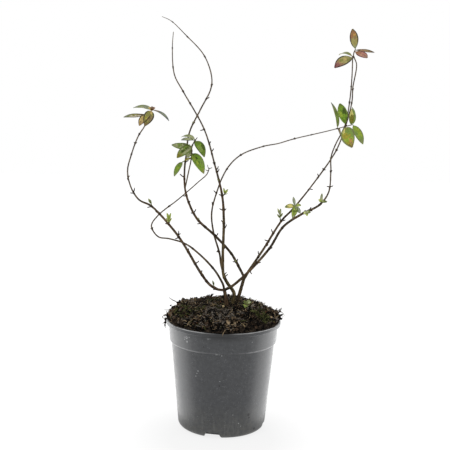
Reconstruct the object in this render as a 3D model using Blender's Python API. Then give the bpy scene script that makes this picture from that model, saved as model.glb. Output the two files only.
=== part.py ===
"""A young potted hypericum shrub, as solids at real size.

Three stems rise from the peat of a grey nursery pot and fork low down into long, thin,
arching boughs that are bare but for a spray of leaves at a few tips and nodes, and for
short new shoots along the old wood. The origin is the middle of the pot's flat underside,
+Z is up and -Y is the front. Sizes are metres; the plant's own tables are millimetres.
"""

import math
from bisect import bisect_right
from collections import namedtuple

import bmesh
import bpy
from mathutils import Matrix, Vector, noise
from mathutils.bvhtree import BVHTree

MM = 0.001
GAP = 0.3 * MM                  # between two pieces that rest on each other

# The pot, a turned shell.
POT_HEIGHT = 163 * MM
RIM_RADIUS = 85.5 * MM
LIP_HEIGHT = 5.5 * MM
LIP_THROAT = 81.4 * MM          # outside radius just under the lip
STEP_HEIGHT = 133 * MM          # the band under the lip ends here, and the wall steps in
STEP_RADIUS = 79.8 * MM
STEP_DEPTH = 2.8 * MM
STEP_DROP = 3 * MM
STEP_LIFT = 0.5 * MM            # the inside steps in this much higher up
FOOT_RADIUS = 65 * MM           # where the tapered wall would meet the ground
FOOT_CORNER = 9 * MM
WALL = 1.3 * MM
FLOOR = 2 * MM
POT_SIDES = 44

# The notches in the pot's foot, which let water out.
NOTCHES = 4
NOTCH_TURN = math.radians(-101.5)
NOTCH_HEIGHT = 9.5 * MM
NOTCH_WIDTH = 28 * MM
NOTCH_TOP_WIDTH = 19 * MM
NOTCH_DEPTH = 18 * MM

# The heap of peat over the rim: how high it stands at each distance from the axis.
PEAT_FLAT = 25 * MM
PEAT_TOP = 20 * MM
PEAT_SHAPE = ((40, 22), (51, 21), (62, 18.5), (70, 15), (76, 11), (80.5, 6), (83.2, 1.6))
PEAT_ROUGHNESS = 1.2 * MM
PEAT_LUMP = 14 * MM             # how far apart the lumps are

# Tubes and leaves.
RING_STEP = 8.5                 # mm between a limb's rings
SIX_SIDED = 1.3 * MM            # a stretch with a smaller radius has six sides, not eight
LEAF_RINGS = (0.03, 0.15, 0.32, 0.53, 0.75, 0.92)
LEAF_STALK = 0.06               # the stalk's share of a leaf
FOOT_POWER = 0.8                # how pointed a leaf's foot is: less is rounder
TIP_POWER = 0.75                # the same at its tip
LEAF_THICKNESS = 0.45
LEAF_FOOT_THICKNESS = 1.1
LEAF_FOLD = 0.16                # how far a leaf's edges rise, as a share of its half width
SHOOT_RADIUS = 0.8

Limb = namedtuple("Limb", "route girth parts on")
Leaf = namedtuple("Leaf", "at reach width face arch foot", defaults=(FOOT_POWER,))
Shoot = namedtuple("Shoot", "limb at stem leaves")

# Every limb's turning points from its foot to its tip, in mm, its radius at some distances
# along it, and the solids it is cut into: each name with the distance at which it ends.
# A limb is cut where it bends round a wide gap, and where a spray of leaves takes over.
LIMBS = {
    "left stem": Limb(
        route=((4, -6, 183), (3, -6, 196), (0, -8, 211)),
        girth=((0, 2.9), (28, 2.5)),
        parts=(("stem_left", None),),
        on=("soil",),
    ),
    "centre": Limb(
        route=((12, 2, 183), (15, 3, 202), (6, 2, 217), (-1, 1, 230), (-3, 0, 257), (-2, -5, 314),
               (-6, -4, 350), (-17, 1, 393), (-34, 12, 445), (-66, 24, 498), (-80, 30, 523),
               (-84, 36, 562), (-83, 40, 586)),
        girth=((0, 2.9), (60, 2.3), (180, 1.6), (215, 1.15), (300, 0.85), (430, 0.5)),
        parts=(("stem_centre_lower", 173), ("stem_centre_upper", None)),
        on=("soil",),
    ),
    "right stem": Limb(
        route=((19, 8, 183), (25, 10, 207), (30, 12, 226)),
        girth=((0, 2.8), (45, 2.4)),
        parts=(("stem_right", None),),
        on=("soil",),
    ),
    "left": Limb(
        route=((0, -8, 209), (-9, -10, 211), (-20, -14, 218), (-33, -22, 236), (-63, -38, 287),
               (-82, -47, 313), (-105, -56, 339), (-121, -62, 349), (-134, -67, 364),
               (-137, -72, 388), (-131, -79, 412), (-120, -86, 438), (-112, -88, 452),
               (-102, -92, 475)),
        girth=((0, 2.1), (110, 1.75), (185, 1.35), (215, 0.95), (339, 0.7)),
        parts=(("bough_left_lower", 222), ("bough_left_upper", 323), ("leaves_left", None)),
        on=("stem_left",),
    ),
    "front": Limb(
        route=((0, -8, 209), (11, -13, 217), (33, -14, 239), (64, -20, 276), (83, -25, 309),
               (109, -30, 329), (134, -31, 342), (147, -26, 360), (150, -18, 389),
               (150, -14, 409), (154, -15, 424), (168, -18, 457), (172, -25, 490),
               (173, -31, 523), (172, -37, 553)),
        girth=((0, 2.1), (90, 1.85), (180, 1.6), (225, 0.85), (417, 0.7)),
        parts=(("bough_front_lower", 220), ("bough_front_upper", 408), ("leaves_front", None)),
        on=("stem_left", "bough_left_lower"),
    ),
    "loop": Limb(
        route=((0, -7, 210), (-2, -4, 217), (-14, 10, 234), (-35, 26, 253), (-60, 40, 269),
               (-86, 50, 275), (-103, 54, 277), (-114, 56, 293), (-106, 58, 309), (-73, 70, 336),
               (-43, 80, 361), (-31, 85, 372), (-27, 88, 382)),
        girth=((0, 1.5), (80, 1.3), (130, 1.0), (293, 0.7)),
        parts=(("bough_loop_lower", 157), ("bough_loop_upper", None)),
        on=("stem_left", "bough_left_lower", "bough_front_lower"),
    ),
    "back": Limb(
        route=((3, 3, 220), (-5, 11, 242), (-8, 18, 259), (-18, 29, 290), (-22, 38, 318),
               (-16, 47, 346), (-1, 58, 383), (20, 66, 404), (55, 74, 418), (78, 74, 423),
               (103, 72, 431), (147, 60, 443), (187, 46, 455)),
        girth=((0, 1.7), (60, 1.45), (120, 1.2), (250, 0.8), (390, 0.6)),
        parts=(("bough_back_lower", 179), ("bough_back_upper", 357), ("leaves_back", None)),
        on=("stem_centre_lower",),
    ),
    "tall": Limb(
        route=((30, 12, 224), (24, 14, 237), (9, 14, 261), (-16, 11, 288), (-40, 3, 313),
               (-55, -7, 338), (-60, -14, 360), (-61, -14, 387), (-59, -14, 408),
               (-55, -15, 440), (-40, -22, 474), (-25, -33, 503), (-24, -38, 520),
               (-35, -47, 549), (-60, -58, 575), (-80, -67, 593), (-92, -72, 598)),
        girth=((0, 2.0), (110, 1.8), (190, 1.3), (300, 0.9), (454, 0.45)),
        parts=(("bough_tall_lower", 169), ("bough_tall_middle", 331), ("bough_tall_upper", None)),
        on=("stem_right",),
    ),
    "middle": Limb(
        route=((-60, -14, 359), (-56, -19, 379), (-51, -25, 405), (-50, -29, 422),
               (-45, -31, 432)),
        girth=((0, 0.95), (77, 0.85)),
        parts=(("leaves_middle", None),),
        on=("bough_tall_lower", "bough_tall_middle"),
    ),
    "outer": Limb(
        route=((30, 12, 223), (37, 11, 236), (57, 3, 270), (83, -7, 316), (96, -12, 331),
               (119, -21, 364), (148, -32, 409), (157, -34, 426), (167, -36, 458),
               (173, -41, 489), (173, -45, 509), (176, -50, 541), (171, -52, 553),
               (173, -53, 561)),
        girth=((0, 2.0), (50, 1.75), (130, 1.5), (165, 0.9), (385, 0.7)),
        parts=(("bough_outer_lower", 224), ("bough_outer_middle", 268), ("leaves_outer", 289),
               ("bough_outer_upper", 375), ("leaves_outer_top", None)),
        on=("stem_right", "bough_tall_lower"),
    ),
}

# The leaves of each spray: the distance along the limb, where the tip lies from there, the
# full width, the way the upper face looks, how high the leaf arches over its chord, and how
# pointed its foot is.
UP = (0, 0, 1)
FRONT = (0, -1, 0.3)
TILTED = (0, -0.4, 1)
RAISED = (0, -1, 0.7)
SPRAYS = {
    "leaves_left": (
        Leaf(338, (-26, 10, 2), 11, TILTED, 3, 0.5),
        Leaf(329, (-33, -14, -2), 12, TILTED, 1, 0.6),
        Leaf(337, (-7, -21, -20), 13.5, (0.3, -1, 0.6), 2, 0.55),
        Leaf(334, (-13, -21, -17), 13, (-0.4, -1, 0.6), 2, 0.7),
        Leaf(338, (24, -9, -14), 7, (0, -0.2, 1), 3.5),
    ),
    "leaves_middle": (
        Leaf(76, (-21, 13, 3), 9, TILTED, 4, 0.6),
        Leaf(75, (-19, -14, 1), 9, (0, -0.5, 1), 1.5, 0.6),
        Leaf(75, (14, -12, -22), 13.5, (0.4, -1, 0.5), 4, 0.5),
        Leaf(65, (-29, 0, 2), 10.5, RAISED, -1.5, 0.6),
        Leaf(67, (-21, -13, -17), 14.5, (-0.3, -1, 0.7), 1.5, 0.6),
        Leaf(64, (-7, 12, -15), 9, FRONT, 1, 0.5),
        Leaf(56, (18, -3, -29), 16, (0.5, -1, 0.5), 3.5, 0.45),
        Leaf(48, (-9, -4, -3), 5, RAISED, 1),
    ),
    "leaves_back": (
        Leaf(366, (-11, 2, 39), 8, (0.8, -1, 0.2), 5, 0.5),
        Leaf(366, (9, 20, -14), 11, RAISED, 1, 0.6),
        Leaf(388, (-4, -16, 25), 9, (0.3, -1, 0), 1, 0.6),
        Leaf(390, (0, 14, 26), 9, (0.8, -1, 0), 2.5, 0.6),
        Leaf(390, (15, -11, -28), 13, (0.2, -1, 0.4), 2.5, 0.6),
    ),
    "leaves_outer": (
        Leaf(277, (-9, 7, 30), 13.5, FRONT, 1),
        Leaf(275, (8, -19, -28), 20, (-0.5, -1, 0.3), 3.5, 0.6),
    ),
    "leaves_outer_top": (
        Leaf(385, (-6, -7, 27), 12, FRONT, 1),
        Leaf(382, (15, -20, -9), 11, RAISED, 1, 1.0),
        Leaf(384, (28, 9, -2), 8.5, (0, -0.6, 1), 0.5),
    ),
    "leaves_front": (
        Leaf(416, (-26, -12, -15), 16, (-0.3, -1, 0.7), 3.5, 0.7),
        Leaf(417, (-16, 24, 3), 7, (0, -0.35, 1), 4),
    ),
}

# The new shoots: the limb and the distance they stand at, their own stem, and their leaves.
SHOOTS = {
    "leaf_tall": Shoot("tall", 210, (-4, -1, -1), (
        Leaf(4, (-12, -2, -21), 10, (-0.6, -1, 0.5), 2, 0.5),
    )),
    "shoot_left_low": Shoot("left", 15, (-1, -1, 5), (
        Leaf(5, (-3, -1, 6), 3, (1, -1, 1), 0),
        Leaf(5, (1, -1, 5), 3, (-1, -1, 1), 0),
    )),
    "shoot_left_middle": Shoot("left", 141, (0, -1, 6), (
        Leaf(6, (-3, -2, 9), 5, (1, -1, 0.5), 0),
        Leaf(6, (3, -1, 9), 5, (-1, -1, 0.5), 0),
        Leaf(4, (-4, 0, 5), 4.5, (1, -1, 1), 0),
        Leaf(4, (4, 0, 5), 4.5, (-1, -1, 1), 0),
    )),
    "shoot_left_high": Shoot("left", 176, (-2, -1, 6), (
        Leaf(6, (-4, -1, 6), 3.5, (1, -1, 1), 0),
        Leaf(5, (3, -1, 3), 3, (-1, -1, 1), 0),
    )),
    "shoot_centre": Shoot("centre", 170, (4, -1, 6), (
        Leaf(6, (-2, -2, 9), 4.5, (1, -1, 0.5), 0),
        Leaf(6, (5, -1, 7), 4.5, (-1, -1, 0.5), 0),
        Leaf(4, (6, 1, 2), 3.5, UP, 0),
    )),
    "shoot_outer_low": Shoot("outer", 107, (-1, -1, 8), (
        Leaf(8, (-4, -1, 10), 4, (1, -1, 0.5), 0),
        Leaf(8, (1, -2, 10), 4, (-1, -1, 0.5), 0),
        Leaf(5, (-5, -1, 4), 3.5, (1, -1, 1), 0),
        Leaf(6, (4, -1, 6), 3.5, (-1, -1, 1), 0),
    )),
    "shoot_outer_high": Shoot("outer", 136, (0, -5, 3), (
        Leaf(5, (-3, -1, 13), 5.5, FRONT, 0),
        Leaf(5, (-15, -4, -2), 7, RAISED, 1),
        Leaf(5, (9, -2, 1), 4.5, RAISED, 1),
        Leaf(5, (8, -4, -10), 6, FRONT, 1),
        Leaf(5, (-3, -6, -19), 9, FRONT, 1.5),
        Leaf(4, (2, -7, -12), 8, FRONT, 1),
    )),
    "shoot_front_low": Shoot("front", 173, (0, -4, 1), (
        Leaf(4, (-4, -3, -3), 4.5, RAISED, 0.5),
        Leaf(4, (1, -3, -6), 4.5, RAISED, 0.5),
        Leaf(4, (6, -2, -1), 5, RAISED, 0.5),
    )),
    "shoot_front_high": Shoot("front", 195, (0, -2, 4), (
        Leaf(4, (0, -1, 12), 4, FRONT, 0),
        Leaf(4, (-4, -2, 3), 4.5, RAISED, 0.5),
        Leaf(4, (9, -1, 0), 4, RAISED, 0.5),
        Leaf(3, (3, -2, 4), 4.5, FRONT, 0),
    )),
}

# The sprout that comes out of the peat on its own.
SPROUT_FOOT = (33, -4)
SPROUT_STEM = (0, 0, 6)
SPROUT = (
    Leaf(4, (-4, -7, 0), 7, RAISED, 1),
    Leaf(4, (2, -8, 0), 7, RAISED, 1),
    Leaf(5, (7, -2, 3), 5, RAISED, 1),
    Leaf(5, (4, -1, 7), 5, FRONT, 0),
    Leaf(5, (-3, 0, 6), 5, FRONT, 0),
)


def paint(name, colour, roughness):
    """A plain Principled material."""
    material = bpy.data.materials.new(name)
    material.use_nodes = True
    shader = material.node_tree.nodes["Principled BSDF"]
    shader.inputs["Base Color"].default_value = (*colour, 1)
    shader.inputs["Roughness"].default_value = roughness
    shader.inputs["Metallic"].default_value = 0
    return material


def place(name, data, material):
    """Put a mesh or a curve into the scene as a named object."""
    obj = bpy.data.objects.new(name, data)
    data.materials.append(material)
    bpy.context.scene.collection.objects.link(obj)
    return obj


def hide(obj):
    """Mark an object as a cutter, which isn't part of the model."""
    obj.hide_render = True
    obj.display_type = "WIRE"
    return obj


def evaluated_mesh(obj):
    """The object's mesh as the viewport shows it, with its modifiers done."""
    graph = bpy.context.evaluated_depsgraph_get()
    return bpy.data.meshes.new_from_object(obj.evaluated_get(graph))


# The pot and its peat.

def wall_radius(height):
    """The body's outside radius below the step."""
    slope = (STEP_RADIUS - STEP_DEPTH - FOOT_RADIUS) / (STEP_HEIGHT - STEP_DROP)
    return FOOT_RADIUS + slope * height


def outer_profile():
    """The pot's outside, from the middle of its underside to the top of its lip."""
    flat = wall_radius(0) - FOOT_CORNER
    points = [(0, 0)]
    for step in range(5):
        angle = math.radians(90 * step / 4)
        points.append((flat + (wall_radius(FOOT_CORNER) - flat) * math.sin(angle),
                       FOOT_CORNER * (1 - math.cos(angle))))
    under_lip = POT_HEIGHT - LIP_HEIGHT
    points += [
        (STEP_RADIUS - STEP_DEPTH, STEP_HEIGHT - STEP_DROP),
        (STEP_RADIUS, STEP_HEIGHT),
        (LIP_THROAT, under_lip - 2 * MM),
        (LIP_THROAT + 1.5 * MM, under_lip - 0.5 * MM),
        (RIM_RADIUS - MM, under_lip),
        (RIM_RADIUS, under_lip + MM),
        (RIM_RADIUS, POT_HEIGHT - MM),
        (RIM_RADIUS - MM, POT_HEIGHT),
    ]
    return points


def inner_profile(clear):
    """The pot's inside from the mouth down to the middle of its floor, `clear` inside it."""
    inset = WALL + clear
    return [
        (LIP_THROAT + MM - clear, POT_HEIGHT),
        (LIP_THROAT - inset, POT_HEIGHT - LIP_HEIGHT - 2 * MM),
        (STEP_RADIUS - inset, STEP_HEIGHT + STEP_LIFT),
        (STEP_RADIUS - STEP_DEPTH - inset, STEP_HEIGHT - STEP_DROP + STEP_LIFT),
        (wall_radius(FOOT_CORNER) - inset, FOOT_CORNER + clear),
        (wall_radius(0) - 6 * MM - clear, FLOOR + 1.5 * MM + clear),
        (wall_radius(0) - FOOT_CORNER - clear, FLOOR + clear),
        (0, FLOOR + clear),
    ]


def turn(name, profile, material):
    """Turn a closed profile round Z into a solid."""
    bm = bmesh.new()
    verts = [bm.verts.new((radius, 0, height)) for radius, height in profile]
    edges = [bm.edges.new(pair) for pair in zip(verts, verts[1:])]
    bmesh.ops.spin(bm, geom=verts + edges, cent=(0, 0, 0), axis=(0, 0, 1),
                   angle=math.tau, steps=POT_SIDES, use_merge=True)
    bmesh.ops.remove_doubles(bm, verts=bm.verts, dist=0.01 * MM)
    bmesh.ops.recalc_face_normals(bm, faces=bm.faces)
    mesh = bpy.data.meshes.new(name)
    bm.to_mesh(mesh)
    bm.free()
    mesh.shade_smooth()
    mesh.set_sharp_from_angle(angle=math.radians(30))
    return place(name, mesh, material)


def notch_blocks(name, grow, material):
    """The four notches as blocks that narrow upwards, grown on all sides by `grow`."""
    blocks = bpy.data.collections.new(name)
    bpy.context.scene.collection.children.link(blocks)
    height = NOTCH_HEIGHT + grow
    inner = FOOT_RADIUS - NOTCH_DEPTH - grow
    length = RIM_RADIUS - inner
    for index in range(NOTCHES):
        bm = bmesh.new()
        bmesh.ops.create_cube(bm, size=1)
        for vert in bm.verts:
            top = vert.co.z > 0
            width = (NOTCH_TOP_WIDTH if top else NOTCH_WIDTH) + 2 * grow
            vert.co = Vector((inner + (vert.co.x + 0.5) * length, vert.co.y * width,
                              height if top else -MM))
        turn_to = Matrix.Rotation(NOTCH_TURN + index * math.tau / NOTCHES, 4, "Z")
        bmesh.ops.transform(bm, matrix=turn_to, verts=bm.verts)
        mesh = bpy.data.meshes.new(name)
        bm.to_mesh(mesh)
        bm.free()
        block = hide(place(f"{name}_{index}", mesh, material))
        bpy.context.scene.collection.objects.unlink(block)
        blocks.objects.link(block)
    return blocks


def cut(obj, cutter=None, collection=None):
    """Take a cutter, or all of a collection of cutters, out of an object."""
    boolean = obj.modifiers.new("cut", "BOOLEAN")
    boolean.operation = "DIFFERENCE"
    boolean.solver = "EXACT"
    if collection:
        boolean.operand_type = "COLLECTION"
        boolean.collection = collection
    else:
        boolean.object = cutter


def make_pot(material):
    """The shell, hollowed round the roofs of its notches, then notched."""
    pot = turn("pot", outer_profile() + [(0, POT_HEIGHT)], material)
    mouth = [(0, POT_HEIGHT + 5 * MM), (LIP_THROAT + MM, POT_HEIGHT + 5 * MM)]
    hollow = hide(turn("hollow", mouth + inner_profile(0), material))
    cut(hollow, collection=notch_blocks("notch_roofs", WALL, material))
    cut(pot, cutter=hollow)
    cut(pot, collection=notch_blocks("notches", 0, material))
    return pot


def make_soil(material):
    """Peat that fills the pot and is heaped over its rim."""
    crown = [(0, POT_HEIGHT + PEAT_TOP), (PEAT_FLAT, POT_HEIGHT + PEAT_TOP)]
    crown += [(radius * MM, POT_HEIGHT + rise * MM) for radius, rise in PEAT_SHAPE]
    edge = [(PEAT_SHAPE[-1][0] * MM, POT_HEIGHT + GAP),
            (LIP_THROAT + MM - GAP, POT_HEIGHT + GAP)]
    soil = turn("soil", crown + edge + inner_profile(GAP), material)
    for vert in soil.data.vertices:
        from_axis = vert.co.xy.length
        if vert.co.z > POT_HEIGHT + 3 * MM and from_axis > PEAT_FLAT + MM:
            vert.co.z += PEAT_ROUGHNESS * noise.noise(vert.co / PEAT_LUMP)
    cut(soil, collection=notch_blocks("notch_clearances", WALL + GAP, material))
    return soil


# Limbs.

def smooth_route(route):
    """Points a millimetre or less apart on a smooth curve through a route, in metres.

    The knots are spaced by the root of their distance, so close turning points make no loops.
    """
    knots = [Vector(point) for point in route]
    knots = [2 * knots[0] - knots[1]] + knots + [2 * knots[-1] - knots[-2]]
    curve = []
    for p0, p1, p2, p3 in zip(knots, knots[1:], knots[2:], knots[3:]):
        t1 = math.sqrt((p1 - p0).length)
        t2 = t1 + math.sqrt((p2 - p1).length)
        t3 = t2 + math.sqrt((p3 - p2).length)
        steps = math.ceil((p2 - p1).length)
        for step in range(steps):
            t = t1 + (t2 - t1) * step / steps
            a1 = p0.lerp(p1, t / t1)
            a2 = p1.lerp(p2, (t - t1) / (t2 - t1))
            a3 = p2.lerp(p3, (t - t2) / (t3 - t2))
            b1 = a1.lerp(a2, t / t2)
            b2 = a2.lerp(a3, (t - t1) / (t3 - t1))
            curve.append(b1.lerp(b2, (t - t1) / (t2 - t1)) * MM)
    curve.append(knots[-2] * MM)
    return curve


class Track:
    """A smooth route that can be asked for its point, direction and radius at a distance."""

    def __init__(self, route, girth):
        self.points = smooth_route(route)
        self.marks = [0]
        for start, end in zip(self.points, self.points[1:]):
            self.marks.append(self.marks[-1] + (end - start).length)
        self.length = self.marks[-1]
        self.girth = girth

    def point(self, distance):
        last = len(self.points) - 2
        index = min(max(bisect_right(self.marks, distance) - 1, 0), last)
        share = (distance - self.marks[index]) / (self.marks[index + 1] - self.marks[index])
        return self.points[index].lerp(self.points[index + 1], share)

    def radius(self, distance):
        for (start, wide), (end, narrow) in zip(self.girth, self.girth[1:]):
            if distance <= end * MM:
                share = max(0, (distance / MM - start) / (end - start))
                return (wide + (narrow - wide) * share) * MM
        return self.girth[-1][1] * MM


def surface(obj):
    """A search tree of an object's surface."""
    mesh = evaluated_mesh(obj)
    tree = BVHTree.FromPolygons([vert.co for vert in mesh.vertices],
                                [face.vertices for face in mesh.polygons])
    bpy.data.meshes.remove(mesh)
    return tree


def clear_start(track, supports):
    """The first distance at which a limb's end face is GAP clear of all that carries it."""
    trees = [surface(bpy.data.objects[name]) for name in supports]
    distance = 0
    while distance < track.length:
        centre = track.point(distance)
        ahead = track.point(min(distance + RING_STEP * MM, track.length)) - centre
        across = ahead.orthogonal().normalized() * track.radius(distance)
        spin = Matrix.Rotation(math.tau / 16, 3, ahead)
        face = [centre]
        for _ in range(16):
            face += [centre + across * share for share in (0.25, 0.5, 0.75, 1)]
            across = spin @ across
        if all(is_clear(tree, point) for tree in trees for point in face):
            return distance
        distance += 0.1 * MM
    raise ValueError("a limb never leaves what carries it")


def is_clear(tree, point):
    """Whether a point is outside a surface and GAP from it."""
    nearest, normal, _, gap = tree.find_nearest(point)
    return gap >= GAP and (point - nearest).dot(normal) > 0


def tube(name, track, start, end, material):
    """A limb, or a stretch of one, as a curve with round, filled ends."""
    rings = max(2, round((end - start) / (RING_STEP * MM)) + 1)
    curve = bpy.data.curves.new(name, "CURVE")
    curve.dimensions = "3D"
    curve.bevel_depth = 1
    curve.bevel_resolution = 2 if track.radius(start) > SIX_SIDED else 1
    curve.use_fill_caps = True
    spline = curve.splines.new("POLY")
    spline.points.add(rings - 1)
    spline.use_smooth = True
    for index, point in enumerate(spline.points):
        distance = start + (end - start) * index / (rings - 1)
        point.co = (*track.point(distance), 1)
        point.radius = track.radius(distance)
    return place(name, curve, material)


# Leaves.

def half_width(share, foot_power):
    """A leaf's half width, 1 at its widest, at a share of the way from foot to tip."""
    blade = max(0, (share - LEAF_STALK) / (1 - LEAF_STALK))
    widest = foot_power / (foot_power + TIP_POWER)
    return (blade / widest) ** foot_power * ((1 - blade) / (1 - widest)) ** TIP_POWER


def make_leaf(name, foot, leaf, material):
    """One leaf: a thin four-sided loft, folded along its midrib and arched."""
    reach = Vector(leaf.reach)
    along = reach.normalized()
    up = Vector(leaf.face)
    up = (up - along * up.dot(along)).normalized()
    side = along.cross(up)
    bm = bmesh.new()
    bmesh.ops.create_uvsphere(bm, u_segments=4, v_segments=len(LEAF_RINGS) + 1, radius=1)
    for vert in bm.verts:
        polar = math.acos(max(-1, min(1, -vert.co.z))) / math.pi
        ring = round(polar * (len(LEAF_RINGS) + 1)) - 1
        if ring < 0:
            share, width, thickness = -0.02, 0, 0
        elif ring == len(LEAF_RINGS):
            share, width, thickness = 1, 0, 0
        else:
            share = LEAF_RINGS[ring]
            width = max(leaf.width / 2 * half_width(share, leaf.foot), LEAF_FOOT_THICKNESS / 2)
            thickness = LEAF_THICKNESS + (LEAF_FOOT_THICKNESS - LEAF_THICKNESS) * (1 - share) ** 8
        spin = vert.co.xy.normalized() if vert.co.xy.length > 0.01 else Vector((0, 0))
        rise = leaf.arch * 4 * share * (1 - share)
        rise += LEAF_FOLD * width * abs(spin.x) + thickness / 2 * spin.y
        vert.co = foot + (reach * share + side * width * spin.x + up * rise) * MM
    bmesh.ops.recalc_face_normals(bm, faces=bm.faces)
    mesh = bpy.data.meshes.new(name)
    bm.to_mesh(mesh)
    bm.free()
    return place(name, mesh, material)


def fuse(obj, pieces):
    """Join pieces to an object with one union, done at once, and remove them."""
    group = bpy.data.collections.new("pieces")
    bpy.context.scene.collection.children.link(group)
    for piece in pieces:
        bpy.context.scene.collection.objects.unlink(piece)
        group.objects.link(piece)
    boolean = obj.modifiers.new("fuse", "BOOLEAN")
    boolean.operation = "UNION"
    boolean.solver = "EXACT"
    boolean.operand_type = "COLLECTION"
    boolean.collection = group
    fused = evaluated_mesh(obj)
    obj.modifiers.clear()
    obj.data = fused
    for piece in pieces:
        bpy.data.objects.remove(piece)
    bpy.data.collections.remove(group)


def spray(name, track, start, end, leaves, stem_material, leaf_material):
    """A length of stem with its leaves sunk into it, as one solid."""
    stem_curve = tube(f"{name}_stem", track, start, end, stem_material)
    stem = place(name, evaluated_mesh(stem_curve), stem_material)
    bpy.data.objects.remove(stem_curve)
    pieces = []
    for index, leaf in enumerate(leaves):
        foot = track.point(min(leaf.at * MM, end - SHOOT_RADIUS * MM))
        pieces.append(make_leaf(f"{name}_leaf_{index}", foot, leaf, leaf_material))
    fuse(stem, pieces)
    return stem


def make_limb(limb, bark, leaf_material):
    """A limb's solids: bare stretches as tubes, leafy ones as sprays."""
    track = Track(limb.route, limb.girth)
    start = clear_start(track, limb.on)
    for name, end in limb.parts:
        end = track.length if end is None else end * MM
        if name in SPRAYS:
            spray(name, track, start, end, SPRAYS[name], bark, leaf_material)
        else:
            tube(name, track, start, end, bark)
        start = end + GAP
    return track


def part_at(limb, distance):
    """The name of the solid that a limb is at a distance along it, in mm."""
    return next(name for name, end in limb.parts if end is None or distance < end)


def make_shoot(name, shoot, tracks, material):
    """A short new shoot that stands on its limb."""
    carrier = part_at(LIMBS[shoot.limb], shoot.at)
    foot = tracks[shoot.limb].point(shoot.at * MM) / MM
    stem = Vector(shoot.stem)
    track = Track((foot, foot + stem / 2, foot + stem), ((0, SHOOT_RADIUS), (30, SHOOT_RADIUS)))
    start = clear_start(track, [carrier])
    spray(name, track, start, track.length, shoot.leaves, material, material)


def make_sprout(material):
    """The sprout in the peat, on a stem that stands on it."""
    foot = Vector((*SPROUT_FOOT, POT_HEIGHT / MM))
    tip = foot + Vector((0, 0, PEAT_TOP / MM)) + Vector(SPROUT_STEM)
    track = Track((foot, (foot + tip) / 2, tip), ((0, SHOOT_RADIUS), (30, SHOOT_RADIUS)))
    start = clear_start(track, ["soil"])
    leaves = [leaf._replace(at=leaf.at + PEAT_TOP / MM) for leaf in SPROUT]
    spray("shoot_soil", track, start, track.length, leaves, material, material)


def main():
    for obj in list(bpy.data.objects):
        bpy.data.objects.remove(obj)
    plastic = paint("pot plastic", (0.075, 0.078, 0.082), 0.45)
    peat = paint("peat", (0.03, 0.021, 0.014), 0.95)
    bark = paint("bark", (0.11, 0.075, 0.05), 0.8)
    leaf_green = paint("leaf", (0.16, 0.25, 0.05), 0.55)
    shoot_green = paint("young shoot", (0.38, 0.48, 0.14), 0.55)
    make_pot(plastic)
    make_soil(peat)
    tracks = {}
    for name, limb in LIMBS.items():
        tracks[name] = make_limb(limb, bark, leaf_green)
    for name, shoot in SHOOTS.items():
        make_shoot(name, shoot, tracks, shoot_green)
    make_sprout(shoot_green)


main()
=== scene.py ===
"""The looks of a potted hypericum: a young shrub with long, bare boughs in a nursery pot.

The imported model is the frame, in metres. The plant's own tables are in millimetres and say
what the part's source says: bark, leaves and shoots grow here by the same rule, only finer.
Colours are written as they look in the studio's light, each channel from 0 to 255.
"""

import math
import random
from bisect import bisect_right
from collections import namedtuple

import bmesh
import bpy
from mathutils import Matrix, Vector, noise


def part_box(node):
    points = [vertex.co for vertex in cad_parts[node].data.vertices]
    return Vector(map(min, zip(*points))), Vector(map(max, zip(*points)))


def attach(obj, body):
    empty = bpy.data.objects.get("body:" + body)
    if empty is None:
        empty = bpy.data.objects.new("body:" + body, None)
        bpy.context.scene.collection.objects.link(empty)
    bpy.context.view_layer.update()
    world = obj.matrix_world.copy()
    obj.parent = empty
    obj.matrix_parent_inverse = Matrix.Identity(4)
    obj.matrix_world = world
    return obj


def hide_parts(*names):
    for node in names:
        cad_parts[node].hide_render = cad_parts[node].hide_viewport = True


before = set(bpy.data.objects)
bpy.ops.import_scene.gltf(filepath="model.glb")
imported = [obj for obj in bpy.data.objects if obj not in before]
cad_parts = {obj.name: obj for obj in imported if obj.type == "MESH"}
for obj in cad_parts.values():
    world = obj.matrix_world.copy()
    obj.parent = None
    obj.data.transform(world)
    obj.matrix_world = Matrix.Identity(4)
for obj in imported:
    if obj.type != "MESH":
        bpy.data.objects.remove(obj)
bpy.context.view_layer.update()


# The pot. A thin nursery pot, moulded in one piece of dark grey plastic: a rounded lip, a band
# under it that ends in a small step, a tapered wall, and notches in the foot to let water out.
# It is turned from one profile, hollowed, and notched.
MM = 0.001
POT_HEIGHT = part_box("pot")[1][2]
RIM_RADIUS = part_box("pot")[1][0]
LIP_HEIGHT = 5.5 * MM
LIP_THROAT = 81.4 * MM          # outside radius just under the lip
LIP_ROUND = 0.9 * MM
STEP_HEIGHT = 133 * MM          # the band ends here, and the wall steps in under it
STEP_RADIUS = 79.8 * MM
STEP_DEPTH = 2.8 * MM
STEP_DROP = 3 * MM
STEP_LIFT = 0.5 * MM            # the inside steps in this much higher up
FOOT_RADIUS = 65 * MM
FOOT_CORNER = 9 * MM
WALL = 1.3 * MM
FLOOR = 2 * MM
NOTCHES = 4
NOTCH_TURN = math.radians(-101.5)
NOTCH_HEIGHT = 9.5 * MM
NOTCH_WIDTH = 28 * MM
NOTCH_TOP_WIDTH = 19 * MM
NOTCH_DEPTH = 18 * MM
POT_STEPS = 160
STUDIO_LIGHT = 1.45             # how much brighter than its base colour a leaf looks


def seen(red, green, blue):
    """The base colour of what shows as this colour in the studio's light."""
    levels = [((level / 255 + 0.055) / 1.055) ** 2.4 / STUDIO_LIGHT for level in (red, green, blue)]
    return (*levels, 1)


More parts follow.
